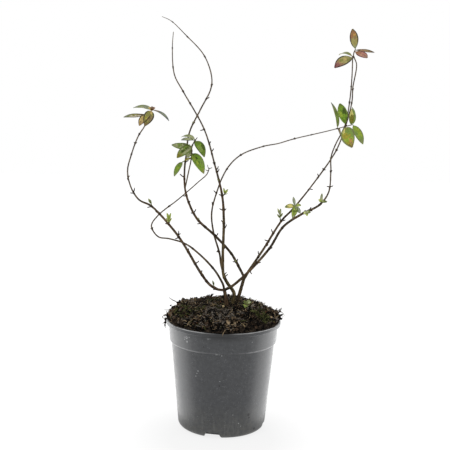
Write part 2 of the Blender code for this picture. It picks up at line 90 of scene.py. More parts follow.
class Value:
    """A node's output that takes part in sums: each operator adds its Math node."""

    def __init__(self, nodes, socket):
        self.nodes = nodes
        self.socket = socket

    def math(self, operation, first, second=0.0, clamped=False):
        settings = {"operation": operation, "use_clamp": clamped}
        return self.nodes.node("ShaderNodeMath", settings, {0: first, 1: second})

    def __add__(self, other):
        return self.math("ADD", self, other)

    def __radd__(self, other):
        return self.math("ADD", other, self)

    def __sub__(self, other):
        return self.math("SUBTRACT", self, other)

    def __rsub__(self, other):
        return self.math("SUBTRACT", other, self)

    def __mul__(self, other):
        return self.math("MULTIPLY", self, other)

    def __rmul__(self, other):
        return self.math("MULTIPLY", other, self)

    def __abs__(self):
        return self.math("ABSOLUTE", self)

    def above(self, low, high):
        """0 at `low` and under, 1 at `high` and over, and a straight ramp between them."""
        return self.math("MULTIPLY", self - low, 1 / (high - low), clamped=True)

    def most(self, other):
        return self.math("MAXIMUM", self, other)


class Nodes:
    """A node tree, with plain words for the nodes that this scene uses."""

    def __init__(self, tree):
        self.tree = tree

    def node(self, kind, settings=None, inputs=None, output=0):
        """Any node, from its type, its settings, and the values or links of its sockets."""
        made = self.tree.nodes.new(kind)
        for name, value in (settings or {}).items():
            setattr(made, name, value)
        for name, value in (inputs or {}).items():
            if isinstance(value, Value):
                self.tree.links.new(value.socket, made.inputs[name])
            else:
                made.inputs[name].default_value = value
        return Value(self, made.outputs[output])

    def mix(self, share, first, second):
        """A colour between two, by a share from 0 to 1."""
        settings = {"data_type": "RGBA"}
        return self.node("ShaderNodeMix", settings, {0: share, 6: first, 7: second}, output=2)


class Finish(Nodes):
    """A material: a Principled shader and the nodes that vary it over the surface."""

    def __init__(self, name, **constants):
        self.material = bpy.data.materials.new(name)
        self.material.use_nodes = True
        super().__init__(self.material.node_tree)
        self.shader = self.tree.nodes["Principled BSDF"]
        for socket, value in constants.items():
            self.shader.inputs[socket.replace("_", " ")].default_value = value

    def place(self, stretch=(1, 1, 1)):
        """Object coordinates in metres, scaled along each axis."""
        where = self.node("ShaderNodeTexCoord", output="Object")
        return self.node("ShaderNodeMapping", {}, {"Vector": where, "Scale": stretch})

    def part(self, axis):
        """One of the object coordinates."""
        return self.node("ShaderNodeSeparateXYZ", {}, {0: self.place()}, output=axis)

    def attribute(self, name):
        """A number that the mesh carries at each vertex."""
        return self.node("ShaderNodeAttribute", {"attribute_name": name}, output="Fac")

    def grain(self, size, where=None, detail=2, roughness=0.5):
        """Soft noise whose blotches are about `size` across, from 0 to 1."""
        inputs = {"Vector": where or self.place(), "Scale": 1 / size,
                  "Detail": detail, "Roughness": roughness}
        return self.node("ShaderNodeTexNoise", {}, inputs)

    def near(self, point, radius, ring=0.0):
        """1 at a point, or on a ring round it, down to 0 at a distance of `radius`."""
        where = self.node("ShaderNodeTexCoord", output="Object")
        gap = self.node("ShaderNodeVectorMath", {"operation": "DISTANCE"}, {0: where, 1: point},
                        output="Value")
        return 1 - abs(gap - ring).above(0, radius)

    def feed(self, socket, value):
        self.tree.links.new(value.socket, self.shader.inputs[socket])

    def bump(self, height, distance, strength=1.0):
        """Let a height from 0 to 1 times `distance` roughen the surface."""
        inputs = {"Height": height, "Distance": distance, "Strength": strength}
        self.feed("Normal", self.node("ShaderNodeBump", {}, inputs))


def place_mesh(name, bm, *materials):
    """Put a finished bmesh into the scene as a smooth object."""
    mesh = bpy.data.meshes.new(name)
    bm.to_mesh(mesh)
    bm.free()
    for material in materials:
        mesh.materials.append(material)
    mesh.shade_smooth()
    obj = bpy.data.objects.new(name, mesh)
    bpy.context.scene.collection.objects.link(obj)
    return obj


def arc(radius, height, size, start, end, steps=6):
    """Points of a round corner of a profile, round (radius, height), angles in degrees."""
    turns = [math.radians(start + (end - start) * step / steps) for step in range(steps + 1)]
    return [(radius + size * math.cos(turn), height + size * math.sin(turn)) for turn in turns]


def wall_radius(height):
    """The body's outside radius below the step."""
    slope = (STEP_RADIUS - STEP_DEPTH - FOOT_RADIUS) / (STEP_HEIGHT - STEP_DROP)
    return FOOT_RADIUS + slope * height


def pot_outside():
    """The outside, from the middle of the underside over the lip to the axis."""
    flat = wall_radius(0) - FOOT_CORNER
    reach = wall_radius(FOOT_CORNER) - flat
    foot = [(flat + reach * math.sin(math.radians(turn)),
             FOOT_CORNER * (1 - math.cos(math.radians(turn)))) for turn in range(0, 91, 9)]
    under_lip = POT_HEIGHT - LIP_HEIGHT
    under_step = STEP_HEIGHT - STEP_DROP
    step = [(wall_radius(under_step), under_step),
            (STEP_RADIUS - 0.9 * MM, STEP_HEIGHT - MM),
            (STEP_RADIUS - 0.3 * MM, STEP_HEIGHT - 0.35 * MM),
            (STEP_RADIUS, STEP_HEIGHT + 0.3 * MM)]
    throat = [(LIP_THROAT, under_lip - 2 * MM), (LIP_THROAT + 0.3 * MM, under_lip - 1.2 * MM),
              (LIP_THROAT + 1.5 * MM, under_lip - 0.5 * MM)]
    edge = RIM_RADIUS - LIP_ROUND
    lip = arc(edge, under_lip + LIP_ROUND, LIP_ROUND, -90, 0)
    lip += arc(edge, POT_HEIGHT - LIP_ROUND, LIP_ROUND, 0, 90)
    return [(0, 0)] + foot + step + throat + lip + [(0, POT_HEIGHT)]


def pot_hollow():
    """The hollow, from over the mouth down to the middle of the floor."""
    over = POT_HEIGHT + 5 * MM
    mouth = LIP_THROAT + MM
    return [
        (0, over),
        (mouth + 0.8 * MM, over),
        (mouth + 0.8 * MM, POT_HEIGHT),
        (mouth, POT_HEIGHT - 0.8 * MM),
        (LIP_THROAT - WALL, POT_HEIGHT - LIP_HEIGHT - 2 * MM),
        (STEP_RADIUS - WALL, STEP_HEIGHT + STEP_LIFT),
        (STEP_RADIUS - STEP_DEPTH - WALL, STEP_HEIGHT - STEP_DROP + STEP_LIFT),
        (wall_radius(FOOT_CORNER) - WALL, FOOT_CORNER),
        (wall_radius(0) - 6 * MM, FLOOR + 1.5 * MM),
        (wall_radius(0) - FOOT_CORNER, FLOOR),
        (0, FLOOR),
    ]


def turned(profile, steps):
    """A solid of revolution about Z."""
    bm = bmesh.new()
    verts = [bm.verts.new((radius, 0, height)) for radius, height in profile]
    edges = [bm.edges.new(pair) for pair in zip(verts, verts[1:])]
    bmesh.ops.spin(bm, geom=verts + edges, cent=(0, 0, 0), axis=(0, 0, 1),
                   angle=math.tau, steps=steps, use_merge=True)
    bmesh.ops.remove_doubles(bm, verts=bm.verts, dist=0.01 * MM)
    bmesh.ops.recalc_face_normals(bm, faces=bm.faces)
    return bm


def notch_wedges(grow):
    """The notches as blocks that narrow upwards, `grow` larger on all sides."""
    bm = bmesh.new()
    inner = FOOT_RADIUS - NOTCH_DEPTH - grow
    length = RIM_RADIUS - inner
    for index in range(NOTCHES):
        block = bmesh.ops.create_cube(bm, size=1)["verts"]
        for vert in block:
            top = vert.co.z > 0
            width = (NOTCH_TOP_WIDTH if top else NOTCH_WIDTH) + 2 * grow
            vert.co = Vector((inner + (vert.co.x + 0.5) * length, vert.co.y * width,
                              NOTCH_HEIGHT + grow if top else -MM))
        bmesh.ops.rotate(bm, verts=block, cent=(0, 0, 0),
                         matrix=Matrix.Rotation(NOTCH_TURN + index * math.tau / NOTCHES, 3, "Z"))
    return place_mesh("notch_wedges", bm)


def take_away(obj, cutter):
    """Cut one object out of another for good, and remove the cutter."""
    boolean = obj.modifiers.new("cut", "BOOLEAN")
    boolean.operation = "DIFFERENCE"
    boolean.object = cutter
    graph = bpy.context.evaluated_depsgraph_get()
    obj.data = bpy.data.meshes.new_from_object(obj.evaluated_get(graph))
    obj.modifiers.clear()
    bpy.data.objects.remove(cutter)


def on_wall(angle, height):
    """A point of the pot's outside, from an angle round from the front and a height in mm."""
    band = STEP_RADIUS + (LIP_THROAT - STEP_RADIUS) * (height * MM - STEP_HEIGHT) / (24.5 * MM)
    radius = band if height * MM > STEP_HEIGHT else wall_radius(height * MM)
    turn = math.radians(angle)
    return (radius * math.sin(turn), -radius * math.cos(turn), height * MM)


# White scuffs and dark specks: angle from the front in degrees, height, ring and width in mm.
POT_SCUFFS = ((-43.4, 150.2, 0, 1.0), (-43.2, 147.2, 0, 1.1), (-40.2, 150.2, 1.4, 0.8),
              (-39.6, 144.2, 0.5, 1.5), (-36.6, 151.8, 0, 1.1), (-15.2, 153.7, 0, 1.7),
              (-13.2, 153.9, 0, 1.0),
              (-6.4, 131.4, 1.4, 0.7), (-3.6, 130.6, 0, 1.1), (-1, 128.8, 0, 1.2),
              (-28, 102.5, 0, 1.2), (-29.6, 98.5, 0, 1.0), (-31, 94, 0, 1.0), (9, 146, 0, 0.9),
              (31, 147.5, 0, 1.1), (-14, 101, 0, 0.8), (-2.5, 90, 0, 0.9), (14, 38, 0, 0.9),
              (22, 24, 0, 1.1), (25, 19, 0, 0.9))
POT_SPECKS = ((35.4, 35, 3.2), (36.4, 30, 2.0), (47.3, 10, 2.8), (75.6, 46, 2.2),
              (76.6, 41, 2.0), (76, 147, 2.2), (76, 151, 1.6), (-20, 141, 1.3), (-3, 83, 1.4))


def pot_plastic():
    """Dark grey plastic, cloudy, mottled, dusty and scuffed, with painted highlights and painted shade
    at its lip and step.
    """
    finish = Finish("pot plastic", Roughness=0.36, Specular_IOR_Level=0.5)
    height = finish.part("Z")
    beside = abs(finish.part("X"))
    cloud = finish.grain(40 * MM, detail=4)
    mottle = finish.grain(5 * MM, detail=4, roughness=0.7).above(0.36, 0.66)
    level = finish.grain(2.2 * MM, finish.place((0.12, 0.12, 1)), detail=3).above(0.35, 0.65)
    drip = finish.grain(3 * MM, finish.place((1, 1, 0.07)), detail=3)
    colour = finish.mix(cloud, (0.013, 0.014, 0.016, 1), (0.026, 0.028, 0.031, 1))
    colour = finish.mix(mottle * 0.32, colour, (0.062, 0.065, 0.070, 1))
    colour = finish.mix(level * 0.1, colour, (0.060, 0.061, 0.062, 1))
    low = 1 - height.above(0.0, 55 * MM)
    earth = finish.grain(6 * MM, detail=5, roughness=0.7).above(0.42, 0.64)
    colour = finish.mix(low * (0.2 + earth * 0.6), colour, (0.062, 0.061, 0.052, 1))
    colour = finish.mix(low * drip.above(0.52, 0.72) * 0.35, colour, (0.12, 0.12, 0.115, 1))
    dust = finish.grain(1.3 * MM, detail=1).above(0.64, 0.72)
    colour = finish.mix(dust * finish.grain(14 * MM).above(0.3, 0.65) * 0.6, colour,
                        (0.15, 0.15, 0.155, 1))
    ragged = finish.grain(1.1 * MM, detail=3).above(0.38, 0.56)
    scuffed = 0.0
    for angle, up, ring, width in POT_SCUFFS:
        mark = finish.near(on_wall(angle, up), width * MM, ring * MM).above(0, 0.7)
        scuffed = mark.most(scuffed)
    colour = finish.mix(scuffed * (0.1 + ragged * 0.8), colour, (0.30, 0.305, 0.305, 1))
    # Worn edge and painted highlight: a pale line along the step's edge, all round the pot.
    worn_and_highlit_step = height.above(STEP_HEIGHT - 2.8 * MM, STEP_HEIGHT - 2.0 * MM)
    worn_and_highlit_step = worn_and_highlit_step * (1 - height.above(STEP_HEIGHT - 0.5 * MM, STEP_HEIGHT + 0.3 * MM))
    colour = finish.mix(worn_and_highlit_step * (0.1 + level * 0.45), colour, (0.12, 0.122, 0.125, 1))
    # Painted shade under the lip: where the pot faces front and back, the band's top is darkened
    # towards black.
    middle = 1 - beside.above(8 * MM, 46 * MM)
    painted_lip_shadow = middle * height.above(148 * MM, 157 * MM)
    colour = finish.mix(painted_lip_shadow * 0.8, colour, (0.002, 0.002, 0.002, 1))
    # Painted highlight: the lip's top edge is made pale, except where the pot faces front and back.
    lip = height.above(POT_HEIGHT - 1.0 * MM, POT_HEIGHT - 0.4 * MM) * (1 - middle)
    colour = finish.mix(lip * (0.45 + level * 0.55), colour, (0.42, 0.42, 0.42, 1))
    # Painted highlight: the lip and the band under it are made pale at the pot's left and right sides.
    lip_end_highlight = beside.above(66 * MM, 82 * MM) * height.above(152 * MM, 158 * MM)
    colour = finish.mix(lip_end_highlight * (0.4 + ragged * 0.3), colour, (0.40, 0.41, 0.41, 1))
    for angle, up, width in POT_SPECKS:
        mark = finish.near(on_wall(angle, up), width * MM).above(0.1, 0.5)
        colour = finish.mix(mark, colour, (0.002, 0.002, 0.002, 1))
    finish.feed("Base Color", colour)
    finish.feed("Roughness", 0.28 + cloud * 0.12 + mottle * 0.08 + dust * 0.2 + lip_end_highlight * 0.2)
    finish.bump(cloud * 0.4 + mottle * 0.2 + finish.grain(0.9 * MM) * 0.06, 0.4 * MM, 0.35)
    return finish.material


pot = place_mesh("nursery_pot", turned(pot_outside(), POT_STEPS), pot_plastic())
hollow = place_mesh("hollow", turned(pot_hollow(), POT_STEPS))
take_away(hollow, notch_wedges(WALL))
take_away(pot, hollow)
take_away(pot, notch_wedges(0))
pot.data.set_sharp_from_angle(angle=math.radians(32))
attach(pot, "root")
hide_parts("pot")


# The peat. Dark, fibrous potting peat heaped over the rim: a crust of clods with gaps between
# them, painted near black as shade, loose crumbs on it, and a little moss. The crust is turned
# from the heap's profile and roughened; the crumbs are strewn on it, and some lie over the lip at the
# left.
PEAT_SHAPE = ((0, 20), (25, 20), (40, 22), (51, 21), (62, 18.5), (70, 15), (76, 11), (80.5, 6),
              (83.2, 1.6))
PEAT_STEPS = 400
PEAT_RINGS = 88
PEAT_BELOW = 6 * MM             # the crust's underside, under the rim
# Dents in the heap: x, y, reach and depth in mm.
DENTS = ((50, 38, 16, 3.6), (30, 50, 12, 1.5), (-5, 45, 14, 1.2), (-70, 15, 12, 1.5),
         (64, 28, 14, 4.4), (-32, 46, 26, 2.2))


def peat_rise(radius):
    """How high the heap stands over the rim at a radius, both in mm."""
    for (start, low), (end, high) in zip(PEAT_SHAPE, PEAT_SHAPE[1:]):
        if radius <= end:
            share = (radius - start) / (end - start)
            return low + (high - low) * share
    return PEAT_SHAPE[-1][1]


def peat_relief(point):
    """How far lumps, clods and crumbs push the crust out, in mm: lumps, and the rest."""
    lumps = 2.4 * noise.noise(point / (16 * MM))
    for x, y, reach, depth in DENTS:
        lumps -= depth * math.exp(-(math.dist(point.xy / MM, (x, y)) / reach) ** 2)
    clods = 6.5 * (abs(noise.noise(point / (8 * MM) + Vector((7, 3, 1)))) - 0.22)
    crumbs = 3.6 * (abs(noise.noise(point / (3.0 * MM))) - 0.2)
    return lumps, clods + crumbs


def peat_point(radius, turn, lift=0.0):
    """A point on the rough heap, `lift` above it, from a radius in mm and an angle."""
    height = POT_HEIGHT + peat_rise(radius) * MM
    point = Vector((radius * MM * math.cos(turn), radius * MM * math.sin(turn), height))
    return point + Vector((0, 0, sum(peat_relief(point)) * MM + lift))


def peat_crust():
    """The heap's rough skin, closed below, which knows how deep its gaps are, for the painted shade in
    them.
    """
    outer = PEAT_SHAPE[-1][0]
    radii = [outer * ring / PEAT_RINGS for ring in range(PEAT_RINGS + 1)]
    profile = [(radius * MM, POT_HEIGHT + peat_rise(radius) * MM) for radius in radii]
    inside = LIP_THROAT - WALL - 0.4 * MM
    profile += [(outer * MM, POT_HEIGHT + 0.3 * MM), (LIP_THROAT, POT_HEIGHT + 0.3 * MM),
                (inside, POT_HEIGHT - PEAT_BELOW), (0, POT_HEIGHT - PEAT_BELOW)]
    bm = turned(profile, PEAT_STEPS)
    bm.normal_update()
    hollow = bm.verts.layers.float.new("hollow")
    moves = {}
    for vert in bm.verts:
        if vert.co.z > POT_HEIGHT + MM:
            lumps, clods = peat_relief(vert.co)
            moves[vert] = vert.normal * (lumps + clods) * MM
            # How deep the gap is, for the painted shade that darkens it towards black.
            vert[hollow] = min(1, max(0, 0.35 - clods * 0.6))
    for vert, move in moves.items():
        vert.co += move
        vert.co.z = max(vert.co.z, POT_HEIGHT + 0.5 * MM)
    return bm


def peat_finish(name, dark, light, fleck):
    """Peat: dark with lighter flecks in it, painted shade near black in its gaps, and quite without
    gloss.
    """
    finish = Finish(f"{name} peat", Roughness=1.0, Specular_IOR_Level=0.04)
    blotch = finish.grain(3.2 * MM, detail=5, roughness=0.7).above(0.38, 0.62)
    flecks = finish.grain(1.4 * MM, detail=3, roughness=0.7).above(0.56, 0.68)
    colour = finish.mix(blotch, seen(*dark), seen(*light))
    colour = finish.mix(flecks * 0.6, colour, seen(*fleck))
    # Painted shade: the gaps are darkened towards black.
    colour = finish.mix(finish.attribute("hollow"), colour, seen(3, 3, 3))
    finish.feed("Base Color", colour)
    finish.bump(finish.grain(0.8 * MM, detail=4), 0.5 * MM, 0.8)
    return finish.material


def stamp(bm, template, matrix):
    """Add a transformed copy of a mesh to a bmesh."""
    copy = template.copy()
    copy.transform(matrix)
    bm.from_mesh(copy)
    bpy.data.meshes.remove(copy)


def crumb_shape(seed, material, fineness):
    """A crumb one unit across, lumpy, as a mesh to stamp."""
    bm = bmesh.new()
    bmesh.ops.create_icosphere(bm, subdivisions=fineness, radius=0.5)
    offset = Vector((seed * 3.1, seed * 1.7, seed))
    for vert in bm.verts:
        vert.co *= 1 + 0.8 * noise.noise(vert.co * 2.6 + offset)
    for face in bm.faces:
        face.material_index = material
    mesh = bpy.data.meshes.new("crumb")
    bm.to_mesh(mesh)
    bm.free()
    return mesh


def tumbled(rng):
    """A random rotation."""
    turns = [rng.uniform(0, math.tau) for _ in range(3)]
    return (Matrix.Rotation(turns[0], 4, "X") @ Matrix.Rotation(turns[1], 4, "Y")
            @ Matrix.Rotation(turns[2], 4, "Z"))


PEAT_COLOURS = {
    "black": ((4, 4, 4), (26, 23, 22), (60, 54, 50)),
    "brown": ((18, 14, 12), (82, 66, 53), (146, 124, 98)),
    "grey": ((50, 46, 44), (134, 126, 116), (188, 178, 164)),
    "tan": ((98, 82, 62), (176, 154, 122), (214, 196, 164)),
    "rust": ((54, 34, 23), (120, 80, 52), (150, 114, 80)),
    "moss": ((34, 36, 21), (94, 97, 58), (144, 147, 98)),
    "chip": ((176, 148, 100), (224, 204, 160), (236, 222, 188)),
}
CRUST_COLOURS = ((8, 7, 7), (58, 49, 41), (118, 104, 86))
TINTS = list(PEAT_COLOURS)
CRUMBS = 3300
CRUMB_SIZES = (1.1, 6.6)        # mm
CRUMB_TINTS = (11, 5, 1.5, 0.5, 0.12, 0.4, 0)    # how often each tint comes among the crumbs
CLOD_SIZE = 4.2                 # mm, from which a crumb is made in more detail
# Where the heap looks different: x, y and radius in mm, and how much more often each tint comes.
MOSSY = (0.7, 0.7, 0.8, 0.7, 0.7, 14, 0)
DARK = (4, 0.8, 0.2, 0.1, 0.4, 0.2, 0)
GREYISH = (1, 0.6, 2.6, 0.8, 0.3, 0.3, 0)
RUSTY = (0.3, 1, 0.7, 4, 36, 0.2, 0)
LIGHT = (0.3, 1, 1.5, 4, 3, 0.2, 0)
PLACES = ((-48, -32, 19, MOSSY), (-62, -18, 12, MOSSY), (-18, 22, 11, MOSSY), (54, -41, 13, MOSSY),
          (-4, -14, 9, MOSSY), (49, -58, 22, DARK), (22, -24, 16, DARK), (-3, -80, 7, DARK),
          (12, -77, 11, LIGHT), (-79, -12, 11, RUSTY), (-55, 25, 20, LIGHT),
          (-10, -46, 20, GREYISH), (2, -62, 14, GREYISH))
# No big clods near the feet of the stems and round the sprout: x, y and radius in mm.
BARE = ((-12, -20, 20), (33, -12, 12))
# Clods that stand out of the heap's outline or hang over the lip: x, y, z and size in mm.
LONE_CLODS = ((58, 33, 174.5, 5), (80, 3, 172, 8), (83, -4, 169, 7), (77, 12, 173, 8),
              (-80, 8, 170, 8), (-83, 0, 166, 6), (-85, -6, 162.5, 4.5), (-86, -9, 158, 3.2),
              (-86.6, -9, 154, 2.2), (-84, 8, 166, 6), (-87, 2, 161, 3.5), (-79, -14, 166, 6),
              (-76, 22, 172, 9), (10, -77, 172, 8), (18, -76, 171, 7), (-66, 36, 176, 8),
              (-71, 45, 175.5, 6), (-63, 50, 179.5, 6.5), (-44, 55, 180, 6), (-33, 56, 181, 5),
              (-25, 56, 184, 4.5), (-23, 56, 186, 3), (-18.5, 56, 186.5, 3.4),
              (-18.5, 56, 188.5, 2), (8, 50, 186, 5.5), (18, 50, 184.5, 5), (32, 45, 182, 5),
              (58.5, 36, 176.6, 2.4), (65, 34, 172, 5), (74, 26, 169, 5), (79, 18, 173, 5),
              (84.5, 5, 176, 4), (84.5, 5, 178.6, 1.8), (86.5, 5, 179.6, 1.6),
              (87, -4, 172.5, 3.6), (85.5, -10, 168, 5), (-88, -6, 157, 2.2),
              (-87, -6, 153.5, 2), (-88, 0, 167, 3), (-91, -2, 164.5, 1.8))
# Pale chips of wood: x, y, z and size in mm.
CHIPS = ((-0.4, -16, 186, 4.8), (-1.2, -17, 184.4, 3.4), (8, -55, 184, 2.2), (11, -54, 184, 1.7),
         (-34, -50, 182, 1.6), (52, 10, 183, 1.6))


def strewn_radius(rng):
    """A radius in mm that strews evenly over the heap, and a little thicker at its edge."""
    return PEAT_SHAPE[-1][0] * math.sqrt(rng.uniform(0, 1)) ** 0.92


def strewn_tint(rng, point, usual):
    """The number of a tint that suits a place on the heap."""
    weights = usual
    for x, y, reach, more in PLACES:
        if math.dist(point.xy / MM, (x, y)) < reach:
            weights = [often * times for often, times in zip(usual, more)]
            break
    return rng.choices(range(len(TINTS)), weights)[0]


def strewn_crumbs():
    """Crumbs and clods of all sizes over the whole heap."""
    rng = random.Random(41)
    shapes = {}
    for fineness in (1, 2):
        for tint in range(len(TINTS)):
            shapes[fineness, tint] = [crumb_shape(seed, tint, fineness) for seed in range(5)]
    bm = bmesh.new()
    crumbs = []
    for _ in range(CRUMBS):
        radius, turn = min(strewn_radius(rng), 81), rng.uniform(0, math.tau)
        size = CRUMB_SIZES[0] + (CRUMB_SIZES[1] - CRUMB_SIZES[0]) * rng.random() ** 3
        point = peat_point(radius, turn, 0.12 * size * MM)
        bare = any(math.dist(point.xy / MM, (x, y)) < reach for x, y, reach in BARE)
        if size < CLOD_SIZE * 0.6 or not bare:
            crumbs.append((point, size, strewn_tint(rng, point, CRUMB_TINTS)))
    for x, y, z, size in LONE_CLODS:
        crumbs.append((Vector((x, y, z)) * MM, size, rng.choice((0, 0, 1))))
        for _ in range(5):
            offset = Vector([rng.uniform(-0.55, 0.55) * size for _ in range(3)])
            crumbs.append(((Vector((x, y, z)) + offset) * MM, size * rng.uniform(0.25, 0.5),
                           rng.choice((0, 0, 1, 2))))
    crumbs += [(Vector((x, y, z)) * MM, size, 6) for x, y, z, size in CHIPS]
    for point, size, tint in crumbs:
        squash = Matrix.Diagonal((rng.uniform(0.7, 1.4), rng.uniform(0.6, 1.1), 0.7, 1))
        matrix = Matrix.Translation(point) @ tumbled(rng) @ squash @ Matrix.Scale(size * MM, 4)
        stamp(bm, rng.choice(shapes[2 if size > CLOD_SIZE else 1, tint]), matrix)
    return bm


peat_materials = [peat_finish(name, *colours) for name, colours in PEAT_COLOURS.items()]
peat = place_mesh("peat_crust", peat_crust(), peat_finish("crust", *CRUST_COLOURS))
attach(peat, "root")
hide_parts("soil")

crumbs = place_mesh("peat_crumbs", strewn_crumbs(), *peat_materials)
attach(crumbs, "root")


# The fibres in the peat: fine dead roots, bits of straw and a few splinters, lying and
# sticking out every way. Each is a thin bent tube.
FIBRES = 2700
FIBRE_LENGTHS = (4, 14)         # mm
FIBRE_RADIUS = 0.046            # for a fibre one unit long
FIBRE_TINTS = (1.6, 3.4, 4, 3.2, 0.3, 1.3, 0.2)
# Single bits of straw and root that catch the eye: tint, thickness, and points in mm.
STRAWS = (
    ("brown", 1.3, ((-68, 24, 178), (-73, 23, 183), (-78, 22, 185.4), (-83.4, 22, 189.2))),
    ("tan", 1.1, ((2, -79, 171), (3, -82, 168), (0, -86.6, 165), (-1, -87, 160))),
    ("tan", 0.9, ((-82, 2, 168), (-87.7, 0, 168), (-91.4, 0, 165), (-90.7, 0, 162), (-87, 0, 163))),
    ("black", 1.7, ((-80, -9, 166), (-86, -8, 160), (-87.5, -7, 154), (-86.4, -7, 149.5))),
    ("brown", 0.9, ((-84, -8, 164), (-88, -7, 158), (-91, -6, 155))),
    ("brown", 0.9, ((-78, 14, 172), (-86, 12, 172), (-90, 9, 173))),
    ("grey", 0.9, ((76, 4, 175), (84, 2, 177), (89, -2, 174), (91, -4, 171))),
    ("black", 1.2, ((80, 6, 174), (83, 5, 177), (85, 5, 180.4))),
    ("black", 1.1, ((82, 4, 174), (86, 5, 178), (87, 5, 181.5))),
    ("black", 2.0, ((-22, 52, 183), (-20, 54, 187.4), (-15, 56, 188.6))),
    ("black", 1.4, ((57, 33, 175), (58.3, 34, 179), (59.4, 35, 182.6))),
    ("tan", 1.2, ((-40, -62, 176), (-30, -66, 176), (-21, -66, 178))),
    ("grey", 1.2, ((24, -60, 178), (33, -58, 181), (42, -52, 180))),
    ("chip", 1.0, ((-10, 6, 183), (-14, -2, 186), (-20, -8, 185))),
    ("tan", 1.2, ((36, 12, 183), (40, 2, 187), (40, -8, 186))),
)


def tube(bm, centres, radii, sides, material=0, layers=None):
    """A closed tube through points, by pushing a ring of edges along them.

    `layers` may name the turn and along layers, which then keep each vertex's place.
    """
    ring = bmesh.ops.create_circle(bm, segments=sides, radius=1, cap_ends=False)["verts"]
    ring.sort(key=lambda vert: math.atan2(vert.co.y, vert.co.x))
    turns = {vert: math.tau * index / sides for index, vert in enumerate(ring)}
    edges = list({edge for vert in ring for edge in vert.link_edges})
    start_edges = edges
    across = (centres[1] - centres[0]).orthogonal().normalized()
    walls = []
    far = 0.0
    for index, centre in enumerate(centres):
        ahead = centres[min(index + 1, len(centres) - 1)] - centres[max(index - 1, 0)]
        ahead.normalize()
        across = (across - ahead * across.dot(ahead)).normalized()
        side = ahead.cross(across)
        if index:
            grown = bmesh.ops.extrude_edge_only(bm, edges=edges)["geom"]
            walls += [item for item in grown if isinstance(item, bmesh.types.BMFace)]
            fresh = {item for item in grown if isinstance(item, bmesh.types.BMVert)}
            next_turns = {}
            for vert in fresh:
                below = next(edge.other_vert(vert) for edge in vert.link_edges
                             if edge.other_vert(vert) in turns)
                next_turns[vert] = turns[below]
            turns = next_turns
            edges = [item for item in grown if isinstance(item, bmesh.types.BMEdge)
                     and item.verts[0] in fresh and item.verts[1] in fresh]
            far += (centre - centres[index - 1]).length
        for vert, turn in turns.items():
            outward = across * math.cos(turn) + side * math.sin(turn)
            vert.co = centre + outward * radii[index]
            if layers:
                vert[layers[0]] = turn
                vert[layers[1]] = far
    for rim in (start_edges, edges):
        walls += bmesh.ops.holes_fill(bm, edges=rim, sides=0)["faces"]
    for face in walls:
        face.material_index = material
    bmesh.ops.recalc_face_normals(bm, faces=walls)


def fibre_shape(rng, material):
    """A bent fibre, one unit long, as a mesh to stamp."""
    bend = rng.uniform(-1.0, 1.0)
    wave = rng.uniform(-0.16, 0.16)
    centres = []
    for step in range(6):
        share = step / 5
        centres.append(Vector((share - 0.5, bend * share * (1 - share),
                               wave * math.sin(math.tau * share))))
    bm = bmesh.new()
    tube(bm, centres, [FIBRE_RADIUS] * 5 + [FIBRE_RADIUS / 2], 3, material)
    mesh = bpy.data.meshes.new("fibre")
    bm.to_mesh(mesh)
    bm.free()
    return mesh


def strewn_fibres():
    """Fibres over the heap, most of them lying, some sticking up, and the single straws."""
    rng = random.Random(97)
    shapes = [[fibre_shape(rng, tint) for _ in range(6)] for tint in range(len(TINTS))]
    bm = bmesh.new()
    for _ in range(FIBRES):
        radius, turn = strewn_radius(rng), rng.uniform(0, math.tau)
        length = rng.uniform(*FIBRE_LENGTHS)
        point = peat_point(min(radius, 79.5), turn, 1.2 * MM)
        tint = strewn_tint(rng, point, FIBRE_TINTS)
        rise = math.radians(rng.gauss(0, 24))
        lean = Matrix.Rotation(rng.uniform(0, math.tau), 4, "Z") @ Matrix.Rotation(rise, 4, "Y")
        matrix = Matrix.Translation(point) @ lean @ Matrix.Scale(length * MM, 4)
        stamp(bm, rng.choice(shapes[tint]), matrix)
    for tint, thickness, straw in STRAWS:
        track = [Vector(point) * MM for point in straw]
        radius = thickness / 2 * MM
        tube(bm, track, [radius] * (len(track) - 1) + [radius * 0.4], 5, TINTS.index(tint))
    return bm


fibres = place_mesh("peat_fibres", strewn_fibres(), *peat_materials)
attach(fibres, "root")


